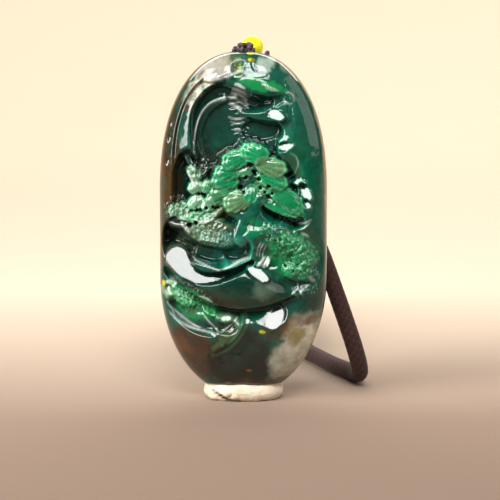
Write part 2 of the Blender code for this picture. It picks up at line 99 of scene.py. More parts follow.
def makeCamera():
    data = bpy.data.cameras.new("camera")
    data.sensor_width = view["sensor"]
    data.lens = view["lens"]
    camera = bpy.data.objects.new("camera", data)
    bpy.context.scene.collection.objects.link(camera)
    tilt = radians(view["tilt"])
    away = Vector((0.0, -np.cos(tilt), np.sin(tilt))) * view["distance"]
    camera.location = Vector(view["target"]) * mm + away
    camera.rotation_euler = (-away).to_track_quat("-Z", "Y").to_euler()
    bpy.context.scene.camera = camera


makeCamera()
print("camera done")

# Lights: place, width, height, watts, colour, spread in degrees, target. The softboxes carry a grid,
# so that little of their light falls on the floor in front
pendantMiddle = (0.0, 0.0, 0.035)
lights = {
    "softbox_left": ((-0.38, -0.20, 0.27), 0.22, 0.52, 1.00, (1.0, 0.98, 0.96), 80, pendantMiddle),
    "softbox_corner": ((-0.27, -0.34, 0.40), 0.14, 0.14, 0.15, (1.0, 0.98, 0.98), 80, pendantMiddle),
    "softbox_above": ((0.02, -0.38, 0.46), 0.30, 0.26, 0.36, (1.0, 0.98, 0.98), 60, pendantMiddle),
    "fill_right": ((0.60, -0.10, 0.30), 0.50, 0.50, 0.9, (1.0, 0.96, 0.92), 180, pendantMiddle),
    "backdrop_glow": ((0.0, 0.55, 0.55), 1.5, 0.3, 9.1, (1.0, 0.925, 0.885), 180, (0.0, 0.50, 0.0)),
}
studio = {"colour": (0.90, 0.94, 0.88, 1.0), "strength": 0.20}


def makeLights():
    for name, (place, width, height, watts, colour, spread, target) in lights.items():
        data = bpy.data.lights.new(name, "AREA")
        data.shape = "RECTANGLE"
        data.spread = radians(spread)
        data.size, data.size_y = width, height
        data.energy = watts
        data.color = colour
        light = bpy.data.objects.new(name, data)
        light.location = place
        towards = Vector(target) - Vector(place)
        light.rotation_euler = towards.to_track_quat("-Z", "Y").to_euler()
        bpy.context.scene.collection.objects.link(light)
    world = bpy.data.worlds.new("studio")
    world.use_nodes = True
    background = world.node_tree.nodes["Background"]
    background.inputs["Color"].default_value = studio["colour"]
    background.inputs["Strength"].default_value = studio["strength"]
    bpy.context.scene.world = world
    bpy.context.scene.view_settings.view_transform = "Standard"


makeLights()
print("lights done")


def newMaterial(name, roughness):
    material = bpy.data.materials.new(name)
    material.use_nodes = True
    nodes = material.node_tree.nodes
    shader = nodes["Principled BSDF"]
    shader.inputs["Roughness"].default_value = roughness
    return material, nodes, material.node_tree.links, shader


def addNode(nodes, kind, **inputs):
    node = nodes.new(kind)
    for name, value in inputs.items():
        node.inputs[name.replace("_", " ")].default_value = value
    return node


def join(links, *pairs):
    # Each pair: a node and its output, then the node and the input that it feeds
    for source, output, target, entry in pairs:
        links.new(source.outputs[output], target.inputs[entry])


def noiseNode(nodes, links, **inputs):
    noise = addNode(nodes, "ShaderNodeTexNoise", **inputs)
    join(links, (nodes.new("ShaderNodeTexCoord"), "Object", noise, "Vector"))
    return noise


def mixNode(nodes, **inputs):
    node = nodes.new("ShaderNodeMix")
    node.data_type = "RGBA"
    for name, value in inputs.items():
        node.inputs[name].default_value = value
    return node


def bumpFrom(nodes, links, shader, source, output, strength, distance):
    bump = addNode(nodes, "ShaderNodeBump", Strength=strength, Distance=distance)
    join(links, (source, output, bump, "Height"), (bump, "Normal", shader, "Normal"))
    return bump


# Shared effect: the points' own tone darkened towards Shade by noise, and the noise as a height
def makeMottle():
    group = bpy.data.node_groups.new("mottled_tone", "ShaderNodeTree")
    entries = {"Scale": "Float", "Detail": "Float", "Roughness": "Float", "Low": "Float", "High": "Float",
               "Shade": "Color"}
    for way, sockets in (("INPUT", entries), ("OUTPUT", {"Colour": "Color", "Height": "Float"})):
        for name, kind in sockets.items():
            group.interface.new_socket(name=name, in_out=way, socket_type="NodeSocket" + kind)
    nodes, links = group.nodes, group.links
    given, made = nodes.new("NodeGroupInput"), nodes.new("NodeGroupOutput")
    tones = nodes.new("ShaderNodeAttribute")
    tones.attribute_name = "tone"
    noise, share = noiseNode(nodes, links), nodes.new("ShaderNodeMapRange")
    shades = mixNode(nodes, B=(1.0, 1.0, 1.0, 1.0))
    mixed = mixNode(nodes, Factor=1.0)
    mixed.blend_type = "MULTIPLY"
    join(links, (given, "Scale", noise, "Scale"), (given, "Detail", noise, "Detail"),
         (given, "Roughness", noise, "Roughness"), (noise, "Fac", share, "Value"),
         (given, "Low", share, "From Min"), (given, "High", share, "From Max"),
         (share, "Result", shades, "Factor"), (given, "Shade", shades, "A"),
         (tones, "Color", mixed, "A"), (shades, "Result", mixed, "B"),
         (mixed, "Result", made, "Colour"), (noise, "Fac", made, "Height"))
    return group


mottle = makeMottle()


def placeMottle(nodes, links, shader, **values):
    node = nodes.new("ShaderNodeGroup")
    node.node_tree = mottle
    for name, value in {"Roughness": 0.5, "Low": 0.3, "High": 0.7, **values}.items():
        node.inputs[name].default_value = value
    join(links, (node, "Colour", shader, "Base Color"))
    return node


def meshFrom(name, points, faces, colours=None):
    mesh = bpy.data.meshes.new(name)
    mesh.from_pydata(points, [], faces)
    mesh.validate()
    mesh.shade_smooth()
    if colours is not None:
        layer = mesh.color_attributes.new("tone", "FLOAT_COLOR", "POINT")
        filled = np.ones((len(points), 4))
        filled[:, :3] = colours
        layer.data.foreach_set("color", filled.ravel())
    thing = bpy.data.objects.new(name, mesh)
    bpy.context.scene.collection.objects.link(thing)
    return thing


def gridFaces(rows, columns, wrap):
    # Quads of a grid of points, row by row; wrap joins the last column to the first
    across = columns if wrap else columns - 1
    row, column = np.meshgrid(np.arange(rows - 1), np.arange(across), indexing="ij")
    beside = (column + 1) % columns
    corners = [row * columns + column, row * columns + beside,
               (row + 1) * columns + beside, (row + 1) * columns + column]
    return np.stack([corner.ravel() for corner in corners], axis=1)


def fanFaces(ring, tip):
    # Triangles from a ring of points to one point
    return np.stack([ring, np.roll(ring, -1), np.full(len(ring), tip)], axis=1)


def tubeFaces(rows, around, closed=False):
    # Closed joins the last row to the first; without it the two points after the rows cap the ends
    faces = gridFaces(rows, around, wrap=True).tolist()
    first = np.arange(around)
    last = (rows - 1) * around + first
    if closed:
        return faces + np.stack([last, np.roll(last, -1), np.roll(first, -1), first], axis=1).tolist()
    faces += fanFaces(first[::-1], rows * around).tolist()
    return faces + fanFaces(last, rows * around + 1).tolist()


def runAlong(path):
    return np.concatenate([[0.0], np.cumsum(np.linalg.norm(np.diff(path, axis=0), axis=1))])


def smoothRoute(route, spacing):
    # Even steps along a smooth curve through the route's own points a, b, c, d:
    # (2b + (c - a) t + (2a - 5b + 4c - d) t^2 + (3b - a - 3c + d) t^3) / 2
    points = np.array(route, dtype=float)
    padded = np.concatenate([points[:1], points, points[-1:]])
    before, start, end, after = (padded[i:len(padded) - 3 + i, None] for i in range(4))
    t = (np.arange(16) / 16)[:, None]
    fine = 0.5 * (2 * start + (end - before) * t
                  + (2 * before - 5 * start + 4 * end - after) * t**2
                  + (3 * start - before - 3 * end + after) * t**3)
    fine = np.concatenate([fine.reshape(-1, 3), points[-1:]])
    run = runAlong(fine)
    even = np.linspace(0.0, run[-1], max(2, round(run[-1] / spacing)) + 1)
    return np.stack([np.interp(even, run, fine[:, axis]) for axis in range(3)], axis=1)


def framesAlong(path):
    # Two directions across the path at each point, carried along it without twisting
    ways = np.gradient(path, axis=0)
    ways /= np.linalg.norm(ways, axis=1)[:, None]
    first = np.cross(ways[0], (0.31, 0.92, 0.24))
    sides = [first / np.linalg.norm(first)]
    for way in ways[1:]:
        side = sides[-1] - way * np.dot(sides[-1], way)
        sides.append(side / np.linalg.norm(side))
    sides = np.array(sides)
    return sides, np.cross(ways, sides)


def fullTurn(steps):
    return np.linspace(0.0, 2 * pi, steps + 1)[:-1]


def sweep(name, path, radiusAt, around, tonesAt):
    # Capped tube: path(s) + r(turn, s) (side cos(turn) + other sin(turn))
    sides, others = framesAlong(path)
    turns, runs = np.meshgrid(fullTurn(around), runAlong(path))
    radius = radiusAt(turns, runs)[..., None]
    points = (path[:, None] + radius * (sides[:, None] * np.cos(turns)[..., None]
                                        + others[:, None] * np.sin(turns)[..., None]))
    points = np.concatenate([points.reshape(-1, 3), path[:1], path[-1:]])
    shades = tonesAt(turns, runs).reshape(-1, 3)
    shades = np.concatenate([shades, shades[:1], shades[-1:]])
    return meshFrom(name, points, tubeFaces(len(path), around), shades)


# Neck cord: from the binding down behind the stone, along the floor into a hank, and back up
neckCord = {"diameter": 3.5 * mm, "strands": 6, "lay": 9.0 * mm, "relief": 0.16 * mm,
            "strandRound": 0.7, "crossing": 0.25, "under": 0.96, "around": 24, "step": 0.42 * mm,
            "shaded": tone(24, 10, 8), "lit": tone(82, 44, 36),
            "hankAcross": 0.8, "hankBend": 7.0, "hankNear": 43.4, "hankFar": 77.6,
            "hankStart": 60.0, "hankPitch": 3.5, "hankFloor": 1.8, "hankPlaces": 150}
frontRoute = [
    (3.6, 9.75, 59.2), (3.8, 9.8, 56.0), (5.6, 9.9, 50.5), (8.1, 9.7, 44.0), (10.8, 9.1, 37.6),
    (13.3, 8.0, 33.0), (15.6, 6.6, 28.0), (18.4, 5.4, 20.5), (21.1, 4.9, 12.8), (22.4, 5.1, 8.8),
    (23.4, 6.7, 5.0), (23.6, 9.6, 2.6), (22.9, 13.0, 1.85), (21.4, 16.4, 1.8), (19.1, 20.9, 1.8),
    (15.8, 29.5, 1.8), (13.3, 36.2, 1.8), (12.0, 40.0, 1.8), (9.8, 47.5, 1.8), (8.2, 54.0, 1.8),
]
returnRoute = [
    (-0.2, 9.75, 59.2), (-0.3, 9.8, 55.5), (-0.9, 10.2, 48.0), (-1.8, 11.1, 40.0),
    (-2.8, 12.8, 32.0), (-3.9, 15.8, 25.0), (-4.9, 20.4, 19.4), (-5.6, 26.0, 16.2),
    (-6.0, 31.5, 15.0), (-6.2, 36.2, 14.7),
]


def hankRoute():
    # Loops with straight sides and round ends, rising one cord a loop, three loops and more
    near, far, reach = neckCord["hankNear"], neckCord["hankFar"], neckCord["hankBend"]
    straight, half = far - near, pi * reach
    loop = 2 * (straight + half)
    start = neckCord["hankStart"] - near
    end = straight + half + straight + 3 * loop
    places = []
    for run in np.linspace(start, end, neckCord["hankPlaces"]):
        along = run % loop
        if along < straight:
            x, y = reach, near + along
        elif along < straight + half:
            turn = (along - straight) / reach
            x, y = reach * np.cos(turn), far + reach * np.sin(turn)
        elif along < 2 * straight + half:
            x, y = -reach, far - (along - straight - half)
        else:
            turn = (along - 2 * straight - half) / reach
            x, y = -reach * np.cos(turn), near - reach * np.sin(turn)
        z = neckCord["hankFloor"] + neckCord["hankPitch"] * (run - start) / loop
        places.append((x + neckCord["hankAcross"], y, z))
    return places


def braidHeight(turns, runs):
    # 0 to 1: two families of strands, cos n(turn - ks) and cos n(turn + ks), crossing over and under
    strands, twist = neckCord["strands"], 2 * pi / neckCord["lay"]
    power, crossing = neckCord["strandRound"], neckCord["crossing"]
    leftward = np.abs(np.cos(strands / 2 * (turns - twist * runs)))
    rightward = np.abs(np.cos(strands / 2 * (turns + twist * runs)))
    over = leftward**power * (1.0 - crossing + crossing * rightward)
    return np.maximum(over, rightward**power * (1.0 - crossing + crossing * leftward) * neckCord["under"])


def cordRadius(turns, runs):
    return neckCord["diameter"] / 2 - neckCord["relief"] * (1.0 - braidHeight(turns, runs))


# Painted light and shade: the strands' crests lit, the grooves between them shaded
def braidTones(turns, runs):
    height = braidHeight(turns, runs)[..., None] ** 2
    return neckCord["shaded"] + (neckCord["lit"] - neckCord["shaded"]) * height


def cordMaterial():
    material, nodes, links, shader = newMaterial("braided_cord", 0.8)
    fibres = placeMottle(nodes, links, shader, Scale=2600.0, Detail=3.0, Shade=(0.5, 0.48, 0.48, 1.0))
    shader.inputs["Sheen Weight"].default_value = 0.05
    shader.inputs["Sheen Roughness"].default_value = 0.5
    bumpFrom(nodes, links, shader, fibres, "Height", strength=0.35, distance=0.1 * mm)
    return material


def makeNeckCord():
    route = frontRoute + hankRoute() + returnRoute[::-1]
    path = smoothRoute(np.array(route) * mm, neckCord["step"])
    cord = sweep("neck_cord", path, cordRadius, neckCord["around"], braidTones)
    cord.data.materials.append(cordMaterial())
    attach(cord, "root")
    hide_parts("neck_cord_front", "neck_cord_return", "cord_hank")
    length = np.linalg.norm(np.diff(path, axis=0), axis=1).sum()
    print(f"neck cord {length:.4f} m")
    return cord, path[::3], length


neckCordPiece, neckCordPath, neckCordLength = makeNeckCord()


# Outline and body of the uncarved stone, the same as the solid's: half width and half depth
# W (1 - away^p)^(1/p), with away from 0 on the straight part to 1 at the tip
def outlineAt(height):
    top, foot = stoneTall * stone["topRound"], stoneTall * stone["footRound"]
    above = np.clip((height - stoneTall + top) / top, 0.0, 1.0)
    below = np.clip((foot - height) / foot, 0.0, 1.0)
    power = np.where(above > 0.0, stone["topPower"], stone["footPower"])
    away = np.maximum(above, below)
    halfWide = stoneWide / 2 * (1.0 - away**power) ** (1.0 / power)
    halfDeep = stoneDeep / 2 * (1.0 - away ** stone["sidePower"]) ** (1.0 / stone["sidePower"])
    return halfWide, halfDeep


def halfDeepAt(across, height):
    # The same curve again, from the middle to the side
    halfWide, halfDeep = outlineAt(height)
    share = np.clip(np.abs(across) / np.maximum(halfWide, 1e-9), 0.0, 1.0)
    return halfDeep * (1.0 - share ** stone["sectionPower"]) ** (1.0 / stone["sectionPower"])


ovalPower = 2.2  # 2 is an ellipse, and more is squarer


def oval(across, up, place):
    # (|along / long|^p + |aside / short|^p)^(1/p): 0 at the middle of a tilted oval, 1 at its edge
    x, z, long, short, turn = place
    turn = radians(turn)
    along = (across - x) * np.cos(turn) + (up - z) * np.sin(turn)
    aside = (up - z) * np.cos(turn) - (across - x) * np.sin(turn)
    reach = (np.abs(along) / long) ** ovalPower + (np.abs(aside) / short) ** ovalPower
    return reach ** (1.0 / ovalPower)


def bend(across, up, start, middle, end, steps=40):
    # Distance to a bent line through three places, the share along it, and the side (1 is left)
    share = np.linspace(0.0, 1.0, steps + 1)
    pull = [2 * m - (a + b) / 2 for a, m, b in zip(start, middle, end)]
    line = [(1 - share) ** 2 * a + 2 * share * (1 - share) * p + share**2 * b
            for a, p, b in zip(start, pull, end)]
    nearest = np.full(across.shape, 1e9)
    along = np.zeros(across.shape)
    side = np.ones(across.shape)
    for step in range(steps):
        ax, ay = line[0][step], line[1][step]
        dx, dy = line[0][step + 1] - ax, line[1][step + 1] - ay
        run = np.clip(((across - ax) * dx + (up - ay) * dy) / (dx * dx + dy * dy), 0.0, 1.0)
        offX, offY = across - ax - run * dx, up - ay - run * dy
        distance = np.hypot(offX, offY)
        closer = distance < nearest
        nearest = np.where(closer, distance, nearest)
        along = np.where(closer, (step + run) / steps, along)
        side = np.where(closer, np.sign(dx * offY - dy * offX), side)
    return nearest, along, side


padSlope, fanSlope = 2.2, 4.2  # how steeply forms fall away at their edges


def raised(depth, top, beyond, slope=padSlope):
    # A form that stands up to its top and falls away beyond its edge
    return np.minimum(depth, top + np.maximum(beyond, 0.0) * slope)


# Everything on the face is in mm on the sheet, and a depth is below the uncarved surface.
# Hollows: across, up, half sizes, tilt, depth, width of the wall
hollows = {
    "caveRims": (4.4, 55.8, 6.0, 7.6, 0, 1.2, 2.6),
    "canopyRim": (8.0, 42.6, 4.6, 6.6, 16, 1.2, 2.8),
    "sky": (-2.6, 53.6, 8.2, 10.0, 0, 3.2, 1.8),
    "innerSky": (-0.8, 51.4, 8.0, 8.4, 0, 3.9, 0.9),
    "upperCave": (2.2, 59.3, 4.4, 2.5, -10, 4.4, 0.9),
    "lowerCave": (3.4, 53.2, 5.0, 2.7, 0, 4.5, 0.9),
    "behindCanopy": (0.2, 43.4, 11.6, 8.4, -22, 3.2, 1.6),
    "besideCanopy": (9.2, 43.6, 3.2, 6.4, 10, 1.4, 2.6),
    "leftValley": (-10.4, 41.0, 3.8, 9.6, 4, 3.9, 1.4),
    "leftVoid": (-12.2, 31.6, 4.0, 5.6, 0, 4.4, 1.3),
    "behindSlab": (-5.6, 35.6, 7.0, 3.6, -8, 3.0, 1.2),
    "rightCave": (7.6, 36.2, 5.0, 2.2, -16, 3.6, 0.9),
    "roundCave": (-1.7, 30.0, 3.9, 3.2, 0, 3.7, 1.5),
    "overTheLedge": (-6.6, 29.4, 5.2, 2.6, -12, 3.2, 1.3),
    "underTheLedge": (-14.0, 25.0, 2.4, 1.5, -45, 2.8, 1.0),
    "besideTrunk": (8.8, 28.4, 7.8, 7.4, -25, 1.0, 2.4),
    "aboveTheSwell": (4.6, 28.2, 4.6, 2.6, -20, 1.3, 1.4),
    "garden": (-9.4, 17.6, 6.6, 3.6, -26, 1.8, 1.2),
    "bank": (-3.9, 15.6, 3.2, 2.4, -20, 1.3, 1.1),
}
# Pads that stand in the hollows: across, up, half sizes, tilt, depth, drop towards the edge
pads = {
    "cloud": (2.4, 62.4, 5.8, 1.7, -13, -0.1, 0.4),
    "summit": (4.2, 65.9, 2.1, 1.8, -10, -0.45, 0.5),
    "leftSummit": (-5.0, 65.0, 3.2, 1.9, 24, -0.3, 0.4),
    "heart": (1.7, 44.0, 2.6, 2.6, 0, 1.3, 0.4),
    "slab": (-6.2, 33.6, 4.9, 2.5, -14, 0.6, 0.4),
    "root": (5.4, 32.4, 2.4, 4.4, 30, 0.5, 0.9),
    "groveTop": (6.4, 33.6, 2.6, 1.6, -10, 0.0, 0.7),
    "groveMiddle": (9.6, 31.2, 2.9, 1.8, -22, -0.1, 0.7),
    "groveRight": (12.2, 28.2, 2.6, 1.9, -25, 0.0, 0.7),
    "groveLow": (11.0, 25.4, 3.4, 1.7, -14, -0.2, 0.8),
    "gardenTree": (-11.8, 20.6, 2.7, 1.7, -38, 0.4, 0.9),
    "pavilion": (-6.3, 18.2, 1.4, 1.3, -26, 0.7, 0.2),
    "roof": (-7.3, 20.1, 1.8, 0.8, -22, 0.15, 0.4),
    "terrace": (-6.4, 15.9, 2.7, 0.9, -26, 1.0, 0.4),
    "court": (-3.4, 16.6, 1.8, 1.1, 8, 0.6, 0.2),
}


# Fans of needles: across, up, half sizes, tilt, depth, crown, ribs, tone
canopyHeart = (1.7, 43.4)
fans = [
    (-3.7, 41.6, 2.7, 1.5, 8, 0.55, 0.7, 4, "e"), (-3.6, 43.6, 2.7, 1.6, 4, 0.45, 0.6, 4, "b"),
    (-3.0, 45.4, 2.7, 1.6, 10, 0.35, 0.6, 4, "b"), (-1.5, 47.8, 2.7, 1.8, 18, 0.2, 0.6, 4, "b"),
    (2.2, 49.0, 2.9, 1.9, -18, 0.0, 0.7, 5, "a"), (-6.7, 42.4, 1.5, 1.4, -12, 0.95, 0.8, 3, "e"),
    (-5.4, 40.1, 2.0, 1.4, 12, 0.7, 0.7, 3, "e"), (-1.2, 39.7, 2.7, 2.0, 20, 0.0, 0.8, 5, "c"),
    (-6.9, 38.9, 1.4, 1.3, 12, 0.75, 0.8, 3, "d"), (1.5, 41.2, 1.9, 1.3, 75, 0.6, 0.6, 3, "b"),
    (7.3, 38.3, 3.9, 1.1, -22, 0.35, 0.6, 5, "b"), (8.4, 40.2, 4.1, 1.9, -40, -0.1, 0.8, 7, "b"),
    (5.6, 43.8, 3.1, 1.7, -20, 0.0, 0.7, 4, "b"), (5.3, 46.5, 3.2, 1.8, -16, -0.05, 0.7, 4, "c"),
    (3.6, 42.4, 1.7, 1.0, -40, 0.7, 0.6, 3, "e"), (0.4, 45.6, 1.8, 1.1, 12, 0.75, 0.6, 3, "e"),
    (-9.2, 42.2, 1.7, 1.2, 15, 1.3, 0.8, 3, "d"), (-9.6, 44.6, 1.9, 1.1, -55, 1.9, 0.7, 3, "d"),
    (-9.2, 39.4, 1.8, 1.3, 32, 0.9, 0.8, 2, "d"), (-12.6, 38.0, 2.0, 1.3, 10, 1.5, 0.8, 3, "d"),
    (-9.4, 36.7, 3.3, 0.9, 4, 0.8, 0.5, 3, "e"),
]

# Lumpy foliage and pitted rock: across, up, half sizes, tilt, count, lump size, height
lumps = [
    (6.4, 33.6, 3.0, 2.0, -10, 70, 0.42, 0.34), (9.6, 31.2, 3.3, 2.1, -22, 90, 0.42, 0.36),
    (12.2, 28.4, 2.9, 2.3, -25, 80, 0.42, 0.36), (11.0, 25.6, 3.5, 1.9, -14, 90, 0.42, 0.36),
    (7.6, 31.0, 2.4, 2.2, -20, 40, 0.40, 0.24), (-11.8, 20.8, 2.8, 1.7, -38, 70, 0.38, 0.32),
    (-6.9, 33.4, 4.8, 2.3, -14, 120, 0.30, 0.20), (-9.4, 36.9, 4.4, 1.5, 4, 50, 0.34, 0.30),
    (-13.2, 38.6, 2.2, 1.8, 10, 30, 0.36, 0.40), (-8.8, 46.0, 2.0, 2.4, -20, 26, 0.34, 0.30),
    (12.4, 22.0, 2.2, 1.4, -20, 24, 0.40, 0.14), (-5.4, 19.8, 1.6, 1.0, -20, 18, 0.36, 0.24),
]

# Sprigs standing up from a root: across, up, length, first and last angle, blades, depth
sprigs = [
    (-14.6, 36.6, 2.2, 60, 120, 4, 1.2), (-13.6, 37.4, 2.6, 70, 110, 3, 1.0),
    (-12.4, 37.0, 2.4, 50, 120, 4, 1.1), (-11.0, 37.2, 1.8, 60, 130, 3, 1.2),
    (-9.4, 45.4, 2.6, 90, 150, 4, 1.7), (-8.4, 44.2, 2.0, 20, 90, 4, 1.8),
    (-10.6, 47.0, 3.0, 80, 130, 4, 1.9), (-7.2, 45.4, 1.4, 40, 110, 3, 2.2),
]
def carveHollows(across, up, depth):
    # The deepest hollow counts; each falls to its depth over the width of its wall
    for *place, level, edge in hollows.values():
        inside = (1.0 - oval(across, up, place)) * min(place[2:4])
        depth = np.maximum(depth, level * ease(inside / edge))
    return depth


# Thin ridge between the two caves, flaring into a triangle on the right
caveRidge = {"line": ((-0.4, 56.7), (3.6, 56.2), (8.4, 57.0)), "half": 0.3, "flare": 1.5,
             "depth": 3.0, "rise": 2.5}


def carveCaveRidge(across, up, depth):
    distance, along, _ = bend(across, up, *caveRidge["line"])
    half = caveRidge["half"] + caveRidge["flare"] * along**2
    return raised(depth, caveRidge["depth"] - caveRidge["rise"] * along, distance - half)


def carvePads(across, up, depth):
    for *place, level, drop in pads.values():
        reach = oval(across, up, place)
        top = level + drop * np.minimum(reach, 1.0) ** 2
        depth = raised(depth, top, (reach - 1.0) * min(place[2:4]))
    return depth

# Trunk, boughs and roots: start, middle, end, half width at each end, depth at each end
boughs = [
    ((-15.0, 35.4), (-10.5, 35.0), (-4.4, 37.9), 0.6, 0.6, 1.1, 1.1),
    ((3.4, 40.2), (0.9, 36.6), (-0.4, 32.6), 1.1, 1.5, 0.6, 0.3),
    ((2.4, 38.6), (3.2, 35.6), (6.4, 33.2), 1.0, 1.7, 0.5, 0.2),
    ((1.6, 36.6), (2.2, 34.2), (3.8, 31.2), 1.6, 1.2, 0.3, 0.4),
    ((-3.6, 38.8), (-1.2, 37.2), (1.4, 36.4), 0.7, 1.2, 0.9, 0.5),
]

boughRound = 0.45  # how far a bough's sides lie below its middle


def carveBoughs(across, up, depth):
    for start, middle, end, first, last, high, low in boughs:
        distance, along, _ = bend(across, up, start, middle, end)
        half = first + (last - first) * along
        top = high + (low - high) * along + boughRound * np.minimum(distance / half, 1.0) ** 2
        depth = raised(depth, top, distance - half)
    return depth


def leaning(across, up, place, slopes):
    # Depth of a plane through a place (across, up, depth): it ignores the roundness of the stone
    scale = sheetDeep / stoneDeep
    atPlace = lambda u, v: halfDeepAt(u / sheetWide * stoneWide, v / sheetTall * stoneTall) * scale
    x, z, level = place
    middle = level - atPlace(np.array(x), np.array(z))
    flat = slopes[0] * (across - x) + slopes[1] * (up - z)
    return middle + flat + atPlace(across, up)


# The long ledge: one plane leans back over the round mass and catches the light
ledge = {"line": ((-13.0, 28.2), (-7.4, 24.6), (1.6, 27.6)), "half": 2.2, "taper": 1.7, "taperPower": 0.8,
         "plane": (-7.4, 24.6, 0.9), "slopes": (-0.02, 0.53), "soft": 0.3}


def carveLedge(across, up, depth):
    distance, along, _ = bend(across, up, *ledge["line"])
    half = ledge["half"] - ledge["taper"] * along ** ledge["taperPower"]
    top = leaning(across, up, ledge["plane"], ledge["slopes"])
    depth = raised(depth, top, distance - half)
    inBand = ease((half - distance) / ledge["soft"] + 0.5)
    return depth + (np.maximum(depth, top) - depth) * inBand


# Facets that catch the light: across, up, half sizes, tilt, depth, softness, then the slopes
towardsTop, towardsRight, towardsLeft = (0.02, 0.55), (-0.50, 0.42), (-0.60, 0.20)
facets = [
    ((2.9, 25.5, 3.0, 1.25, -30, 0.35, 0.22), towardsTop),
    ((6.3, 16.6, 3.0, 1.9, 62, 1.05, 0.25), towardsTop),
    ((6.4, 56.4, 2.2, 1.25, -22, 0.75, 0.30), towardsRight),
    ((8.2, 50.3, 2.0, 1.0, 10, 0.65, 0.30), towardsRight),
    ((10.7, 43.3, 1.9, 0.8, -6, 0.60, 0.30), towardsRight),
    ((12.2, 41.3, 2.3, 1.1, -60, 0.32, 0.30), towardsRight),
    ((12.5, 38.9, 0.8, 1.4, 30, 0.25, 0.40), towardsRight),
    ((1.8, 34.6, 2.1, 0.8, -14, 0.35, 0.40), (-0.02, 0.55)),
    ((4.8, 27.6, 0.55, 1.5, -24, 0.75, 0.40), towardsRight),
    ((-14.4, 21.8, 1.5, 0.9, -55, 0.9, 0.40), (-0.55, 0.40)),
    ((-3.4, 16.6, 1.7, 0.9, 8, 0.75, 0.40), (0.0, 0.54)),
    ((-14.3, 51.6, 0.5, 1.1, -14, 0.5, 0.50), towardsLeft),
    ((-14.1, 54.4, 0.6, 0.9, -30, 0.4, 0.50), towardsLeft),
    ((-14.6, 47.2, 0.5, 1.0, -14, 0.4, 0.50), towardsLeft),
    ((-0.9, 65.9, 1.6, 2.1, -20, 0.45, 0.50), (0.05, 0.20)),
]


def carveFacets(across, up, depth):
    for (*place, level, soft), slopes in facets:
        inside = ease((1.0 - oval(across, up, place)) / soft)
        depth = depth + (leaning(across, up, (*place[:2], level), slopes) - depth) * inside
    return depth


# The swell, and the groove under it: steep towards the swell, with a long bank below
swell = {"place": (-0.6, 22.8, 10.6, 4.3, -6), "height": 0.9, "edge": 2.8,
         "line": ((-14.2, 24.2), (-2.6, 17.9), (10.2, 20.6)), "depth": 2.6, "wall": 1.1,
         "bank": 2.4, "widerBy": 2.4, "widestAt": 6.4, "widerOver": 2.4}


def carveSwell(across, up, depth):
    distance, along, side = bend(across, up, *swell["line"])
    deepest = swell["depth"] * np.sin(pi * np.clip(0.04 + 0.92 * along, 0.0, 1.0)) ** 0.6
    fromWidest = (across - swell["widestAt"]) / swell["widerOver"]
    bank = swell["bank"] + swell["widerBy"] * np.exp(-(fromWidest**2))
    ramp = np.clip(1.0 - distance / bank, 0.0, 1.0)
    wall = np.where(side > 0, ease(1.0 - distance / swell["wall"]), 0.6 * ramp + 0.4 * ease(ramp))
    depth = np.maximum(depth, deepest * wall)
    inside = (1.0 - oval(across, up, swell["place"])) * swell["place"][3]
    return depth - swell["height"] * ease(inside / swell["edge"])


# Groove beside the rind; the lip between it and the sky leans gently out of it to a crest
rind = {"line": ((-4.2, 64.4), (-12.2, 55.6), (-12.8, 34.0)), "reach": 2.3, "wall": 0.6,
        "lean": 0.62, "leansLess": 0.36}


def carveRind(across, up, depth):
    distance, along, side = bend(across, up, *rind["line"])
    lip = ease(8.0 * along) * ease(4.0 * (1.0 - along))
    lean = rind["lean"] - rind["leansLess"] * ease(2.2 * along)
    deepest = lean * rind["reach"]
    towardsSky = np.maximum(deepest - lean * distance, 0.0)
    wall = np.where(side > 0, towardsSky, deepest * ease(1.0 - distance / rind["wall"]))
    return np.maximum(depth, lip * wall)


# Thin ridge inside the sky: its broad outer side leans towards the light, its inner side drops, and a painted
# highlight runs along its crest
skyRidge = {"line": ((-3.0, 59.4), (-8.1, 56.6), (-9.4, 48.0)), "reach": 1.25, "narrows": 0.85,
            "crest": 2.3, "crestAt": 54.0, "crestFall": 0.10, "outerSlope": 0.52, "innerSlope": 2.4,
            "sunkEnds": 3.0, "soft": 0.25,
            "highlightLine": ((-2.6, 59.5), (-8.1, 56.6), (-9.6, 48.0)), "highlightHalf": 0.55, "highlightThins": 0.38}


def carveSkyRidge(across, up, depth):
    distance, along, side = bend(across, up, *skyRidge["line"])
    reach = skyRidge["reach"] - skyRidge["narrows"] * along
    crest = skyRidge["crest"] + skyRidge["crestFall"] * (up - skyRidge["crestAt"])
    outer = crest + skyRidge["outerSlope"] * distance
    ends = ease(6.0 * (1.0 - along)) * ease(9.0 * along)
    within = ends * ease((reach - distance) / skyRidge["soft"] + 0.5) * (side < 0)
    depth = depth + (outer - depth) * within
    inner = crest + skyRidge["innerSlope"] * distance + skyRidge["sunkEnds"] * (1.0 - ends)
    return np.where(side < 0, depth, np.minimum(depth, inner))


# Banks of the river: line, reach on its left, wall on its right, depth, how fast its ends fade
banks = [
    (((-14.6, 20.6), (-11.2, 14.8), (-4.6, 13.2)), 2.4, 0.4, 0.6, 8.0),
    (((0.6, 17.6), (-1.4, 12.2), (-7.4, 8.6)), 5.0, 0.5, 0.9, 5.0),
]


def carveBanks(across, up, depth):
    for line, reach, wall, deep, fade in banks:
        distance, along, side = bend(across, up, *line)
        inside = ease(1.0 - distance / np.where(side > 0, reach, wall))
        depth = depth + deep * inside * ease(fade * along) * ease(fade * (1.0 - along))
    return depth


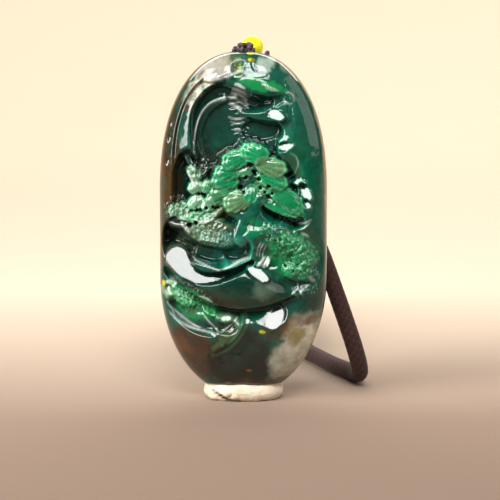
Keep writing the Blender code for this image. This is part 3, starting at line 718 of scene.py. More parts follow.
# Thin engraved strokes on the plain parts: start, middle, end, half width, depth
strokes = [
    ((9.0, 58.6), (8.6, 56.6), (9.8, 55.0), 0.22, 0.16),
    ((9.9, 58.9), (9.4, 56.8), (10.8, 54.8), 0.22, 0.14),
    ((8.2, 63.0), (8.0, 61.2), (9.2, 60.2), 0.20, 0.14),
    ((10.6, 61.6), (10.0, 60.4), (11.0, 59.4), 0.20, 0.12),
    ((9.4, 48.8), (10.6, 46.2), (9.8, 43.8), 0.22, 0.16),
    ((10.4, 47.4), (11.2, 45.4), (10.6, 43.4), 0.20, 0.12),
    ((3.0, 30.0), (4.4, 28.6), (3.6, 26.6), 0.24, 0.18),
    ((4.0, 30.4), (5.4, 28.4), (4.8, 26.0), 0.24, 0.16),
    ((4.6, 34.4), (6.6, 31.4), (6.8, 27.6), 0.26, 0.18),
    ((2.2, 37.0), (0.8, 34.6), (1.0, 32.6), 0.24, 0.18),
    ((3.4, 37.8), (2.2, 35.6), (2.6, 33.0), 0.24, 0.18),
    ((8.0, 20.6), (9.6, 21.8), (10.6, 23.8), 0.20, 0.14),
    ((-6.2, 24.6), (-3.8, 23.8), (-1.4, 24.6), 0.16, 0.14),
    ((-9.6, 26.6), (-6.0, 25.4), (-3.4, 26.2), 0.16, 0.16),
    ((-4.6, 16.6), (-2.8, 13.6), (-1.0, 16.4), 0.20, 0.22),
    ((-3.8, 16.9), (-2.6, 14.6), (-1.6, 16.8), 0.16, 0.18),
]


def carveStrokes(across, up, depth):
    for start, middle, end, half, deep in strokes:
        distance, along, _ = bend(across, up, start, middle, end, steps=12)
        taper = np.sin(pi * along) ** 0.5
        depth = depth + deep * taper * ease(1.0 - distance / half)
    return depth


# Fine proud lines: start, middle, end, half width, height, tone (white, green, black or deep green)
# and its strength. White paints a highlight on a line, and black paints shade in the groove under the swell
lines = [
    ((-15.0, 19.7), (-13.3, 17.4), (-8.4, 14.2), 0.15, 0.16, "w", 0.55),
    ((-14.0, 18.1), (-11.6, 15.1), (-4.8, 13.5), 0.14, 0.14, "w", 0.60),
    ((-7.7, 17.1), (-6.2, 15.3), (-4.5, 13.7), 0.12, 0.12, "w", 0.60),
    ((-4.5, 13.7), (-2.6, 15.1), (-1.1, 16.9), 0.13, 0.14, "w", 0.60),
    ((0.1, 17.6), (-0.2, 14.4), (-3.1, 11.2), 0.55, 0.12, "g", 0.35),
    ((-0.2, 14.0), (-2.6, 10.8), (-6.5, 9.0), 0.35, 0.10, "g", 0.30),
    ((-12.5, 24.0), (-7.5, 21.4), (-2.6, 18.3), 0.60, -0.20, "k", 0.90),
    ((-8.9, 21.0), (-7.4, 20.8), (-5.9, 19.8), 0.12, 0.14, "w", 0.60),
    ((-8.6, 20.3), (-7.3, 20.0), (-6.0, 19.1), 0.11, 0.12, "g", 0.60),
    ((-13.6, 21.4), (-11.6, 20.8), (-9.6, 19.6), 0.12, 0.14, "g", 0.60),
    ((-13.9, 20.3), (-12.0, 19.3), (-10.2, 18.0), 0.12, 0.14, "g", 0.50),
    ((-7.2, 18.9), (-7.0, 18.0), (-6.8, 17.2), 0.14, 0.16, "g", 0.60),
    ((-5.8, 18.4), (-5.6, 17.4), (-5.4, 16.6), 0.14, 0.16, "g", 0.60),
    ((-10.1, 28.5), (-7.4, 27.2), (-4.5, 26.2), 0.10, 0.12, "w", 0.80),
    ((-4.3, 26.4), (-1.6, 27.4), (1.3, 28.7), 0.14, 0.14, "w", 0.90),
    ((-1.8, 62.4), (-0.7, 62.1), (0.4, 61.4), 0.22, 0.10, "w", 0.70),
    ((-2.3, 61.4), (-0.9, 61.1), (0.7, 60.0), 0.26, 0.12, "w", 0.80),
    ((-2.5, 60.5), (-0.9, 60.1), (0.8, 58.8), 0.28, 0.12, "w", 0.80),
    ((-2.8, 59.5), (-0.9, 59.1), (1.0, 57.8), 0.28, 0.12, "w", 0.80),
    ((-2.9, 58.5), (-1.5, 57.9), (-0.3, 57.1), 0.26, 0.12, "w", 0.80),
    ((-3.0, 55.9), (-1.3, 55.4), (0.7, 55.9), 0.18, 0.10, "w", 0.50),
    ((-2.6, 54.9), (-1.2, 54.5), (0.2, 54.8), 0.14, 0.08, "w", 0.40),
    ((-2.0, 53.4), (-0.8, 53.1), (0.4, 53.4), 0.12, 0.08, "w", 0.35),
    ((2.7, 67.8), (1.9, 66.3), (2.8, 64.8), 0.36, -0.15, "d", 0.80),
    ((6.2, 67.2), (6.8, 66.0), (6.4, 64.6), 0.30, -0.12, "d", 0.70),
    ((2.0, 63.9), (3.4, 63.9), (4.6, 64.2), 0.10, 0.08, "w", 0.55),
    ((3.5, 62.3), (5.4, 61.7), (6.9, 61.0), 0.11, 0.10, "w", 0.60),
    ((4.2, 61.8), (5.4, 61.3), (6.4, 61.0), 0.10, 0.08, "w", 0.50),
    ((-2.9, 63.9), (-1.2, 64.6), (0.2, 65.0), 0.20, 0.10, "w", 0.60),
    ((-4.9, 63.7), (-3.9, 64.2), (-2.9, 64.6), 0.15, 0.10, "w", 0.60),
    ((8.0, 60.6), (9.4, 60.4), (9.8, 58.9), 0.12, 0.10, "w", 0.50),
    ((7.8, 59.8), (8.4, 58.6), (9.6, 58.7), 0.10, 0.10, "w", 0.45),
    ((2.6, 27.0), (3.4, 27.6), (4.3, 28.9), 0.22, 0.18, "w", 0.85),
    ((3.6, 27.0), (4.3, 27.6), (4.9, 28.8), 0.18, 0.16, "w", 0.80),
    ((4.6, 26.9), (4.9, 27.6), (5.0, 28.5), 0.14, 0.14, "w", 0.70),
    ((3.5, 31.8), (2.8, 30.4), (2.7, 28.9), 0.10, 0.08, "w", 0.50),
    ((4.0, 31.6), (3.3, 30.2), (3.2, 28.7), 0.10, 0.08, "w", 0.45),
    ((4.6, 31.2), (3.9, 29.8), (3.8, 28.4), 0.10, 0.08, "w", 0.40),
    ((8.6, 36.6), (9.6, 35.6), (11.0, 35.4), 0.12, 0.10, "w", 0.50),
    ((10.8, 34.9), (12.0, 35.4), (13.4, 36.0), 0.14, 0.10, "w", 0.60),
    ((11.0, 34.0), (12.2, 34.6), (13.0, 35.6), 0.12, 0.10, "w", 0.50),
    ((11.2, 33.2), (12.0, 33.0), (12.8, 32.4), 0.20, 0.14, "w", 0.70),
    ((12.7, 24.4), (13.4, 24.1), (14.0, 23.6), 0.25, 0.15, "w", 0.40),
    ((10.6, 23.6), (11.0, 22.0), (11.8, 20.9), 0.14, 0.10, "w", 0.30),
    ((9.6, 22.8), (10.0, 21.6), (10.9, 20.6), 0.12, 0.10, "w", 0.25),
    ((9.0, 49.2), (10.6, 47.4), (9.6, 44.4), 0.10, 0.08, "w", 0.35),
    ((-14.0, 36.4), (-14.2, 37.4), (-14.0, 38.2), 0.14, 0.20, "w", 0.80),
    ((-13.0, 36.2), (-13.1, 37.4), (-12.8, 38.6), 0.14, 0.20, "w", 0.80),
    ((-12.1, 36.4), (-12.0, 37.4), (-12.2, 38.4), 0.13, 0.20, "w", 0.70),
    ((-11.0, 36.4), (-10.9, 37.2), (-11.1, 38.0), 0.13, 0.20, "w", 0.70),
    ((-11.2, 46.2), (-10.4, 44.2), (-9.4, 42.0), 0.20, 0.20, "w", 0.60),
    ((-9.6, 46.0), (-9.4, 44.4), (-8.8, 42.6), 0.14, 0.15, "w", 0.50),
    ((-14.6, 35.1), (-12.6, 36.0), (-11.0, 35.8), 0.16, 0.15, "w", 0.60),
    ((-9.4, 36.2), (-7.4, 35.6), (-4.8, 37.4), 0.20, 0.15, "w", 0.75),
    ((-12.2, 35.6), (-11.4, 34.2), (-10.4, 33.4), 0.20, 0.15, "w", 0.60),
]


def alongLine(across, up, line):
    # Places near a line, and how strongly it shows there: 1 on the line, tapering at its ends
    start, middle, end, half = line[:4]
    corners = np.array([start, middle, end])
    room = 2.5 * half
    low, high = corners.min(axis=0) - room, corners.max(axis=0) + room
    near = np.flatnonzero((across > low[0]) & (across < high[0]) & (up > low[1]) & (up < high[1]))
    distance, along, _ = bend(across[near], up[near], start, middle, end, steps=12)
    return near, np.sin(pi * along) ** 0.4 * ease(1.35 - distance / half / 1.4)


def carveLines(across, up, depth):
    for line in lines:
        near, share = alongLine(across, up, line)
        depth[near] -= line[4] * share
    return depth


# Rows of pits on the rock: sin(ka) sin(lb) on tilted axes a and b that wander with noise
rock = {"place": (-5.7, 32.5, 4.4, 2.2, -18), "tilt": (0.80, 0.60), "wander": 0.22, "rows": (7.2, 6.4),
        "depth": 0.22}


def rockPits(across, up):
    wander = rock["wander"] * softNoise(across, up, 0.9, 61)
    cos, sin = rock["tilt"]
    first, second = cos * across + sin * up + wander, cos * up - sin * across - wander
    cells = np.sin(rock["rows"][0] * first) * np.sin(rock["rows"][1] * second)
    return cells, ease(2.2 * (1.0 - oval(across, up, rock["place"])))


def carveRock(across, up, depth):
    cells, within = rockPits(across, up)
    return depth + rock["depth"] * ease(1.5 * cells) * within


# Frosted places: across, up, half sizes, tilt, strength
frosts = [
    (6.6, 33.0, 3.4, 2.4, -20, 0.6), (9.8, 30.4, 4.2, 2.6, -30, 0.6), (11.4, 26.8, 3.8, 2.6, -20, 0.8),
    (-5.9, 32.8, 4.6, 2.3, -14, 0.8), (-13.2, 37.2, 2.2, 1.6, 0, 0.8), (-9.6, 36.8, 3.6, 1.0, 5, 0.6),
    (-11.0, 19.8, 3.4, 2.0, -38, 0.9), (-7.2, 19.2, 2.2, 1.2, -26, 0.4), (9.8, 36.4, 3.6, 1.8, 20, 0.4),
    (13.0, 22.4, 2.2, 1.6, -20, 0.3), (-9.4, 44.8, 2.2, 2.4, 0, 0.5), (-9.0, 61.2, 3.8, 1.6, 44, 0.5),
    (-9.0, 22.2, 3.6, 0.5, -28, 0.6), (8.6, 59.6, 1.8, 1.8, 0, 0.3), (2.6, 44.0, 7.0, 4.6, -20, 0.15),
    (-0.8, 66.0, 1.6, 2.0, -20, 0.45),
]


def gritAt(across, up):
    grit = np.zeros(across.shape)
    for *place, strength in frosts:
        grit = np.maximum(grit, strength * ease(2.0 * (1.15 - oval(across, up, place))))
    return grit


# Steps of cloud on the floor of the sky: across, up, half sizes, tilt, distance apart, slope
cloudSteps = [(-0.9, 59.8, 2.6, 3.9, -8, 1.24, 0.55), (-0.6, 54.2, 2.4, 2.6, -8, 0.9, 0.40)]
crownPlace = (-0.6, 66.0, 2.4, 2.2, 0)  # where the skin at the top is rougher
polish = {"crown": 0.10, "broad": 0.06, "fine": 0.02}  # unevenness that polishing leaves


def carveWaves(across, up, depth):
    # A step rises over 0.6 of the distance to the next and drops over the rest, along a bowed line
    for *place, apart, slope in cloudSteps:
        x = place[0]
        bowed = up + 0.10 * (across - x) ** 2 + 0.22 * (across - x) + 0.12 * np.sin(2.1 * across)
        phase = (bowed / apart) % 1.0
        step = np.where(phase < 0.6, phase, 1.5 * (1.0 - phase)) * apart * slope
        depth = depth + step * ease(2.6 * (1.0 - oval(across, up, place)))
    onCrown = ease(2.0 - 1.6 * oval(across, up, crownPlace))
    depth = depth + polish["crown"] * onCrown * layeredNoise(across, up, 0.9, 11)
    depth = depth + polish["broad"] * layeredNoise(across, up, 2.6, 3)
    return depth + polish["fine"] * softNoise(across, up, 0.7, 8)


# Drill holes among the leaves: across, up, radius
drillHoles = [
    (2.0, 45.4, 0.42), (0.5, 44.3, 0.36), (-0.5, 42.4, 0.44), (0.1, 41.5, 0.34), (3.0, 44.0, 0.46),
    (2.2, 45.0, 0.30), (4.9, 42.6, 0.40), (5.6, 41.2, 0.34), (3.3, 42.3, 0.36), (4.2, 41.5, 0.28),
    (-7.2, 38.3, 0.38), (-9.0, 37.9, 0.32), (-5.9, 38.6, 0.30), (-10.5, 34.9, 0.55), (-9.2, 35.5, 0.42),
    (8.2, 27.0, 0.30), (9.7, 26.0, 0.26), (-8.7, 41.0, 0.26),
]
drillDepth = 1.3


def drillPits(across, up, depth):
    for x, z, radius in drillHoles:
        inside = 1.0 - np.hypot(across - x, up - z) / radius
        depth = depth + drillDepth * ease(2.2 * inside)
    return depth


# Relief of a fan: sunk on its upper side and towards its root, ribbed, with one stepped tier and
# a proud line inside the rim
fanRelief = {"rootBack": 1.2, "power": 2.4, "rimIn": 0.94, "scallop": 0.08, "sunkUp": 0.28, "sunkRoot": 0.22,
             "crown": 0.45, "rib": 0.10, "tier": 0.14, "tierAt": 0.64, "tierSoft": 0.05,
             "ridge": 0.11, "ridgeAt": 0.9, "ridgeHalf": 0.09}


def fanShape(across, up, fan):
    # A fan points away from the canopy's heart. Gives the share along it, its ribs as a cosine of
    # the angle about its root, and its reach: 0 at the middle and 1 at the scalloped rim
    x, z, long, short, turn = fan[:5]
    turn = radians(turn)
    way = np.array([np.cos(turn), np.sin(turn)])
    if way @ (x - canopyHeart[0], z - canopyHeart[1]) < 0.0:
        way = -way
    dx, dy = across - x, up - z
    along, aside = dx * way[0] + dy * way[1], dy * way[0] - dx * way[1]
    toRoot, power = fanRelief["rootBack"] * long, fanRelief["power"]
    angle = np.arctan2(aside, np.maximum(along + toRoot, 0.05))
    rib = 0.5 + 0.5 * np.cos(pi * fan[7] * angle / np.arctan2(short, toRoot))
    along, aside = along / long, aside / short
    reach = (np.abs(along) ** power + np.abs(aside) ** power) ** (1.0 / power)
    return along, rib, reach / (fanRelief["rimIn"] + fanRelief["scallop"] * rib)


def carveFans(across, up, depth):
    # Fans lie like scales, each one over those before it
    for fan in fans:
        z, long, short, level, crown = fan[1], fan[2], fan[3], fan[5], fan[6]
        along, rib, reach = fanShape(across, up, fan)
        sunk = fanRelief["sunkUp"] * (up - z) / short + fanRelief["sunkRoot"] * (1.0 - along)
        top = level + sunk + fanRelief["crown"] * crown * np.minimum(reach, 1.0) ** 3
        top = top + fanRelief["rib"] * (1.0 - rib) * ease(1.6 * reach)
        tier = ease((reach - fanRelief["tierAt"]) / fanRelief["tierSoft"]) * (along > -0.2)
        top = top + fanRelief["tier"] * tier
        ridge = 1.0 - np.abs(reach - fanRelief["ridgeAt"]) / fanRelief["ridgeHalf"]
        top = top - fanRelief["ridge"] * ease(ridge)
        depth = raised(depth, top, (reach - 1.0) * min(long, short), fanSlope)
    return depth


def carveLumps(across, up, depth):
    # Half balls, height sqrt(1 - (d / r)^2), scattered over an oval
    draw = np.random.default_rng(5)
    for *place, count, size, height in lumps:
        nearby = np.flatnonzero(oval(across, up, place) < 1.2)
        ball = np.zeros(len(nearby))
        spread = np.sqrt(draw.uniform(0.0, 1.0, count))
        angle = draw.uniform(0.0, 2 * pi, count)
        sizes = size * draw.uniform(0.7, 1.3, count)
        x, z, long, short, turn = place
        tilt = radians(turn)
        along, aside = long * spread * np.cos(angle), short * spread * np.sin(angle)
        centreX = x + along * np.cos(tilt) - aside * np.sin(tilt)
        centreZ = z + along * np.sin(tilt) + aside * np.cos(tilt)
        for lumpX, lumpZ, radius in zip(centreX, centreZ, sizes):
            distance = np.hypot(across[nearby] - lumpX, up[nearby] - lumpZ)
            ball = np.maximum(ball, np.sqrt(np.maximum(1.0 - (distance / radius) ** 2, 0.0)))
        depth[nearby] -= height * ball
    return depth


blade = {"root": 0.26, "thins": 0.16, "falls": 0.3, "bow": 0.12}  # half width, depth and bow in mm


def carveSprigs(across, up, depth):
    for x, z, length, first, last, blades, level in sprigs:
        for number, angle in enumerate(np.radians(np.linspace(first, last, blades))):
            reach = length * (0.75 + 0.25 * np.cos(2.4 * number + x))
            end = (x + reach * np.cos(angle), z + reach * np.sin(angle))
            middle = ((x + end[0]) / 2 + blade["bow"] * np.sin(3.0 * number), (z + end[1]) / 2)
            distance, along, _ = bend(across, up, (x, z), middle, end, steps=6)
            half = blade["root"] - blade["thins"] * along
            depth = raised(depth, level + blade["falls"] * along, distance - half, fanSlope)
    return depth


# In the order of the work: what comes later cuts into, or stands on, what is there
cuts = (carveHollows, carveRind, carveSkyRidge, carveCaveRidge, carveWaves, carvePads, carveBoughs,
        carveFans, carveSwell, carveLedge, carveBanks, carveFacets, carveRock, carveSprigs, carveLumps,
        carveStrokes, carveLines, drillPits)


def faceDepth(across, up):
    # Depth of the carved face below the uncarved stone, faded out towards the outline
    halfDeep = halfDeepAt(across / sheetWide * stoneWide, up / sheetTall * stoneTall)
    depth = np.zeros(across.shape)
    for cut in cuts:
        depth = cut(across, up, depth)
    keep = ease((halfDeep / (stoneDeep / 2) - stone["plainRim"]) / stone["rimFade"])
    most = np.maximum(2 * halfDeep - stone["leastWall"], 0.0) / stoneDeep * sheetDeep
    return np.minimum(depth * keep, most)


# Colours of the stone
deepGreen, midGreen, brightGreen = tone(16, 62, 50), tone(10, 98, 76), tone(14, 146, 90)
leafGreen, paleLeaf, oliveLeaf = tone(24, 158, 84), tone(150, 190, 150), tone(110, 142, 82)
rindDark, rindBrown, rimBeige = tone(52, 56, 36), tone(84, 60, 32), tone(188, 164, 124)
milk, greyMilk, rust = tone(204, 198, 176), tone(172, 170, 148), tone(120, 70, 36)
yellowOlive, nearBlack, clayBrown = tone(140, 126, 44), tone(20, 26, 20), tone(70, 48, 30)
cloudWhite = tone(214, 228, 220)
# Tones for the fine lines: white is a painted highlight, black a painted shade
lineTones = {"w": tone(240, 250, 242), "g": tone(122, 190, 140), "k": tone(18, 22, 16),
             "d": tone(12, 74, 54)}
yellowSpeck, rimLeaf = tone(232, 214, 20), tone(104, 200, 144)

# Patches on the face: tone, across, up, half sizes, tilt, softness, strength
patches = [
    (midGreen, 11.0, 44.0, 6.5, 22.0, 0, 0.5, 0.9),
    (brightGreen, 12.0, 45.0, 3.0, 8.0, 10, 0.9, 0.25),
    (tone(186, 182, 170), -5.6, 65.4, 3.8, 2.4, 24, 0.6, 0.85),
    (milk, -8.6, 61.8, 3.6, 1.6, 44, 0.5, 0.8),
    (greyMilk, -4.2, 67.2, 2.2, 1.0, 16, 0.6, 0.7),
    (rust, -9.6, 61.4, 1.1, 0.6, 30, 0.6, 0.75),
    (rindBrown, -7.4, 63.8, 1.2, 0.8, 40, 0.6, 0.7),
    (oliveLeaf * 0.5, -0.9, 66.0, 1.9, 2.4, -30, 0.5, 0.95),
    (rindBrown, -10.6, 59.0, 2.0, 1.6, 50, 0.6, 0.7),
    (midGreen, 3.6, 65.4, 4.2, 2.4, -14, 0.5, 0.9),
    (leafGreen, 3.2, 62.2, 4.6, 1.2, -14, 0.5, 0.85),
    (greyMilk, 8.8, 65.0, 2.8, 1.2, -44, 0.7, 0.5),
    # Pale summit: milky stone with a painted highlight on it
    (tone(178, 202, 184), 4.4, 66.2, 1.9, 1.7, 0, 0.4, 0.85),
    (rindDark, -14.2, 49.0, 1.9, 12.0, 2, 0.4, 0.95),
    (rindBrown, -14.2, 43.0, 1.5, 5.6, 0, 0.5, 0.9),
    (rindDark, -14.4, 32.0, 1.8, 7.0, 0, 0.5, 0.8),
    (tone(62, 76, 56), -12.2, 31.4, 3.2, 5.2, 0, 0.5, 0.85),
    (deepGreen, -8.6, 47.0, 2.6, 6.0, 6, 0.6, 0.5),
    (rindDark, -8.2, 46.6, 2.0, 4.0, 10, 0.8, 0.45),
    (rindDark, -5.6, 46.8, 4.6, 3.4, 24, 1.0, 0.60),
    (midGreen, 2.0, 35.6, 4.6, 3.6, -10, 0.4, 0.9),
    (brightGreen, 2.6, 34.4, 3.2, 2.0, -10, 0.6, 0.7),
    (oliveLeaf, -3.6, 38.0, 2.6, 1.2, 10, 0.6, 0.7),
    (paleLeaf, -8.6, 37.4, 4.2, 1.4, 4, 0.4, 0.85),
    (leafGreen, -8.4, 38.0, 3.0, 0.9, 10, 0.6, 0.7),
    (paleLeaf * 0.6, -6.4, 32.4, 4.4, 1.7, -16, 0.7, 0.5),
    (oliveLeaf * 0.5, -6.0, 35.0, 3.8, 1.3, -8, 0.6, 0.75),
    (midGreen, -2.0, 27.4, 6.0, 2.2, 16, 0.5, 0.8),
    (brightGreen, -2.6, 26.2, 2.2, 0.9, 28, 0.7, 0.5),
    (midGreen, 6.4, 26.6, 4.8, 7.4, -20, 0.6, 0.8),
    (tone(8, 58, 44), -1.0, 22.2, 10.6, 4.2, -6, 0.4, 0.95),
    (tone(120, 142, 122), 3.8, 22.4, 1.8, 1.5, 20, 1.0, 0.50),
    (tone(34, 136, 112), -1.8, 30.0, 4.4, 3.4, 0, 0.3, 0.95),
    (rindDark, -3.8, 19.6, 4.0, 1.4, -18, 0.8, 0.6),
    (tone(10, 150, 84), 9.4, 29.2, 4.6, 4.6, -26, 0.5, 0.8),
    (paleLeaf, -14.4, 21.6, 1.4, 2.2, 10, 0.5, 0.8),
    (leafGreen, -9.6, 19.0, 5.0, 2.6, -26, 0.5, 0.85),
    (paleLeaf, -3.0, 16.0, 2.4, 1.2, -20, 0.8, 0.45),
    (clayBrown, -9.6, 9.6, 6.4, 4.4, -38, 0.4, 0.95),
    (rust, -11.8, 11.2, 2.2, 1.2, -55, 0.8, 0.4),
    (nearBlack, -0.4, 8.0, 6.4, 6.6, 30, 0.5, 0.9),
    (oliveLeaf, -3.6, 12.2, 2.8, 0.8, 36, 0.8, 0.3),
    (clayBrown, 6.8, 14.6, 3.4, 2.4, 30, 0.8, 0.6),
    (milk * 1.5, 12.4, 11.6, 3.8, 5.6, -24, 0.8, 0.9),
    (greyMilk * 1.4, 9.0, 6.6, 3.2, 4.4, -30, 0.9, 0.85),
    (rust, 10.6, 15.4, 3.0, 1.0, 22, 0.8, 0.55),
    (rust, 13.4, 16.4, 1.6, 0.9, 20, 0.8, 0.55),
    (yellowOlive, 10.6, 12.6, 1.4, 1.8, -20, 0.9, 0.8),
    (deepGreen, 12.2, 19.8, 3.8, 1.8, 26, 0.8, 0.7),
    (clayBrown, 3.2, 3.4, 7.4, 1.0, 0, 0.8, 0.6),
    (yellowSpeck, -0.7, 65.5, 0.42, 0.26, 20, 0.5, 1.0),
    (yellowSpeck, 1.6, 66.9, 0.70, 0.34, -10, 0.5, 1.0),
    (yellowSpeck, 1.4, 68.1, 0.60, 0.22, 0, 0.5, 1.0),
    (yellowSpeck, -15.7, 23.2, 0.30, 0.50, 0, 0.5, 1.0),
    (yellowSpeck, 3.7, 14.0, 0.60, 0.32, -10, 0.6, 0.7),
    (rust, 1.1, 6.1, 0.60, 0.24, -5, 0.7, 0.9),
]


def mixTone(colours, other, share):
    return colours + (other - colours) * np.clip(share, 0.0, 1.0)[:, None]


fanTones = {"a": tone(22, 176, 108), "b": tone(12, 160, 98), "c": tone(108, 164, 110),
            "d": tone(118, 178, 134), "e": tone(74, 160, 106)}


# Painted light on the fans: ribs and tips lighter, the rim pale where the thin edge lets light through, and
# one faint painted highlight arc inside it
fanPaintedLight = {"base": 0.66, "rib": 0.30, "tip": 0.14, "rim": 0.5, "rimFrom": 0.82, "rimSoft": 0.12,
             "arc": 0.2, "arcAt": 0.68, "arcHalf": 0.06}


def fanMixes(across, up, depth, colours):
    for fan in fans:
        along, rib, reach = fanShape(across, up, fan)
        share = ease((1.08 - reach) / 0.10) * ease((fan[5] + 1.5 - depth) / 0.5)
        light = fanPaintedLight["base"] + fanPaintedLight["rib"] * rib + fanPaintedLight["tip"] * along
        shade = fanTones[fan[8]] * light[:, None]
        rim = ease((reach - fanPaintedLight["rimFrom"]) / fanPaintedLight["rimSoft"])
        shade = mixTone(shade, rimLeaf, fanPaintedLight["rim"] * rim)
        arc = ease(1.3 - np.abs(reach - fanPaintedLight["arcAt"]) / fanPaintedLight["arcHalf"])
        arc = arc * ease(2.5 * along) * ease(1.6 * rib)
        shade = mixTone(shade, lineTones["w"], fanPaintedLight["arc"] * arc)
        colours = colours + (shade - colours) * share[:, None]
    return colours


def patchMixes(across, up, fine, colours):
    # Patches have wandering edges, apart from the specks, and a strength that varies a little
    warpX = across + 0.9 * softNoise(across, up, 2.0, 50) + 0.3 * softNoise(across, up, 0.6, 51)
    warpY = up + 0.9 * softNoise(across, up, 2.0, 52) + 0.3 * softNoise(across, up, 0.6, 53)
    for colour, *place, soft, strength in patches:
        speck = max(place[2:4]) < 1.0
        reach = oval(across, up, place) if speck else oval(warpX, warpY, place)
        share = strength * ease((1.0 + soft / 2 - reach) / soft) * (1.0 + 0.25 * fine)
        colours = mixTone(colours, colour, share)
    return colours


# A beige rim on the right and a brown one on the left: share of the width where it starts, how
# softly, the height that it starts from, and its strength
rims = [(1.0, rimBeige, 0.955, 0.02, 30, 0.85), (-1.0, rindBrown, 0.93, 0.04, 24, 0.85)]


def rimMixes(across, up, cloud, colours):
    halfWide, _ = outlineAt(up / sheetTall * stoneTall)
    nearRim = np.abs(across) / np.maximum(halfWide / stoneWide * sheetWide, 1e-6) + 0.03 * cloud
    for way, colour, start, soft, low, strength in rims:
        share = ease((nearRim - start) / soft) * (way * across > 0) * ease((up - low) / 6)
        colours = mixTone(colours, colour, strength * share)
    return colours


# Mottle of the ground, then how much each effect lightens or darkens the stone; the glow of thin edges is
# painted light, and the darkening of creases and hollows is painted shade
stoneShade = {"ground": 0.45, "clouds": 0.6, "all": 0.76, "edgeGlow": 0.45, "creaseShade": 0.6,
              "hollows": 0.40, "rock": 0.42, "mottle": 0.16}


def stoneColours(across, up, depth, proud, isFront):
    cloud = layeredNoise(across, up, 5.0, 21)
    fine = layeredNoise(across, up, 1.3, 40)
    colours = np.tile(deepGreen, (len(across), 1))
    colours = mixTone(colours, midGreen, stoneShade["ground"] + stoneShade["clouds"] * cloud)
    # The back carries the same clouds, with its own brown and milky fields
    back = layeredNoise(across, up, 9.0, 60)
    behind = mixTone(colours, clayBrown, 1.6 * back - 0.3)
    behind = mixTone(behind, greyMilk, 1.8 * -back - 0.5)
    colours = patchMixes(across, up, fine, colours)
    # Painted highlight along the ridge in the sky, and painted shade that darkens the deeper places
    distance, along, _ = bend(across, up, *skyRidge["highlightLine"])
    line = ease(1.0 - distance / (skyRidge["highlightHalf"] - skyRidge["highlightThins"] * along))
    line = line * ease(9.0 * along) * ease(5.0 * (1.0 - along))
    colours = mixTone(colours, lineTones["w"], line)
    hollowShade = ease(depth / 3.6) * (1.0 - line)
    colours = mixTone(colours, deepGreen * 0.9, stoneShade["hollows"] * hollowShade)
    colours = fanMixes(across, up, depth, colours)
    cells, within = rockPits(across, up)
    seams = within * ease(1.0 - np.abs(cells + 0.1) / 0.4)
    colours = mixTone(colours, cloudWhite, stoneShade["rock"] * seams)
    # Painted light on thin proud edges, as if light came through them, and painted shade in creases
    colours = colours * (1.0 + stoneShade["edgeGlow"] * ease(proud / 0.5))[:, None]
    colours = colours * (1.0 - stoneShade["creaseShade"] * ease(-proud / 0.7))[:, None]
    for line in lines:
        near, share = alongLine(across, up, line)
        colours[near] = mixTone(colours[near], lineTones[line[5]], line[6] * share)
    colours = rimMixes(across, up, cloud, colours)
    colours = np.where(isFront[:, None], colours, behind)
    return np.clip(colours * (1.0 + stoneShade["mottle"] * fine[:, None]) * stoneShade["all"], 0.0, 1.0)


def softened(grid, reach):
    # Mean of a grid over a square of 2 reach + 1 cells
    for axis in (0, 1):
        steps = range(-reach, reach + 1)
        grid = sum(np.roll(grid, step, axis=axis) for step in steps) / len(steps)
    return grid


def sectionTable():
    # Turn around the section against the share of its mesh columns, most of them in front
    turn = np.linspace(-pi, pi, 4001)
    power = 2 / stone["sectionPower"]
    x = stoneWide / 2 * rounded(np.cos(turn), power)
    y = stoneDeep / 2 * rounded(np.sin(turn), power)
    steps = np.hypot(np.diff(x), np.diff(y))
    inFront = turn[1:] < 0.0
    steps[inFront] *= stone["frontShare"] / steps[inFront].sum()
    steps[~inFront] *= (1.0 - stone["frontShare"]) / steps[~inFront].sum()
    return np.concatenate([[0.0], np.cumsum(steps)]), turn


def heightTable():
    # Height above the tip against the share of the outline's length
    heights = stoneTall * (1.0 - np.cos(np.linspace(0.0, pi, 2001))) / 2
    halfWide, _ = outlineAt(heights)
    steps = np.hypot(np.diff(halfWide), np.diff(heights))
    return np.concatenate([[0.0], np.cumsum(steps)]) / steps.sum(), heights


threadMouths = {"places": (-1.9 * mm, 4.6 * mm), "radius": 0.85 * mm, "depth": 1.6 * mm}
jadeFinish = {"polished": 0.08, "dulled": 0.2, "ior": 1.64, "depth": 0.12, "depthReach": 0.8 * mm,
              "frost": tone(134, 206, 160)}


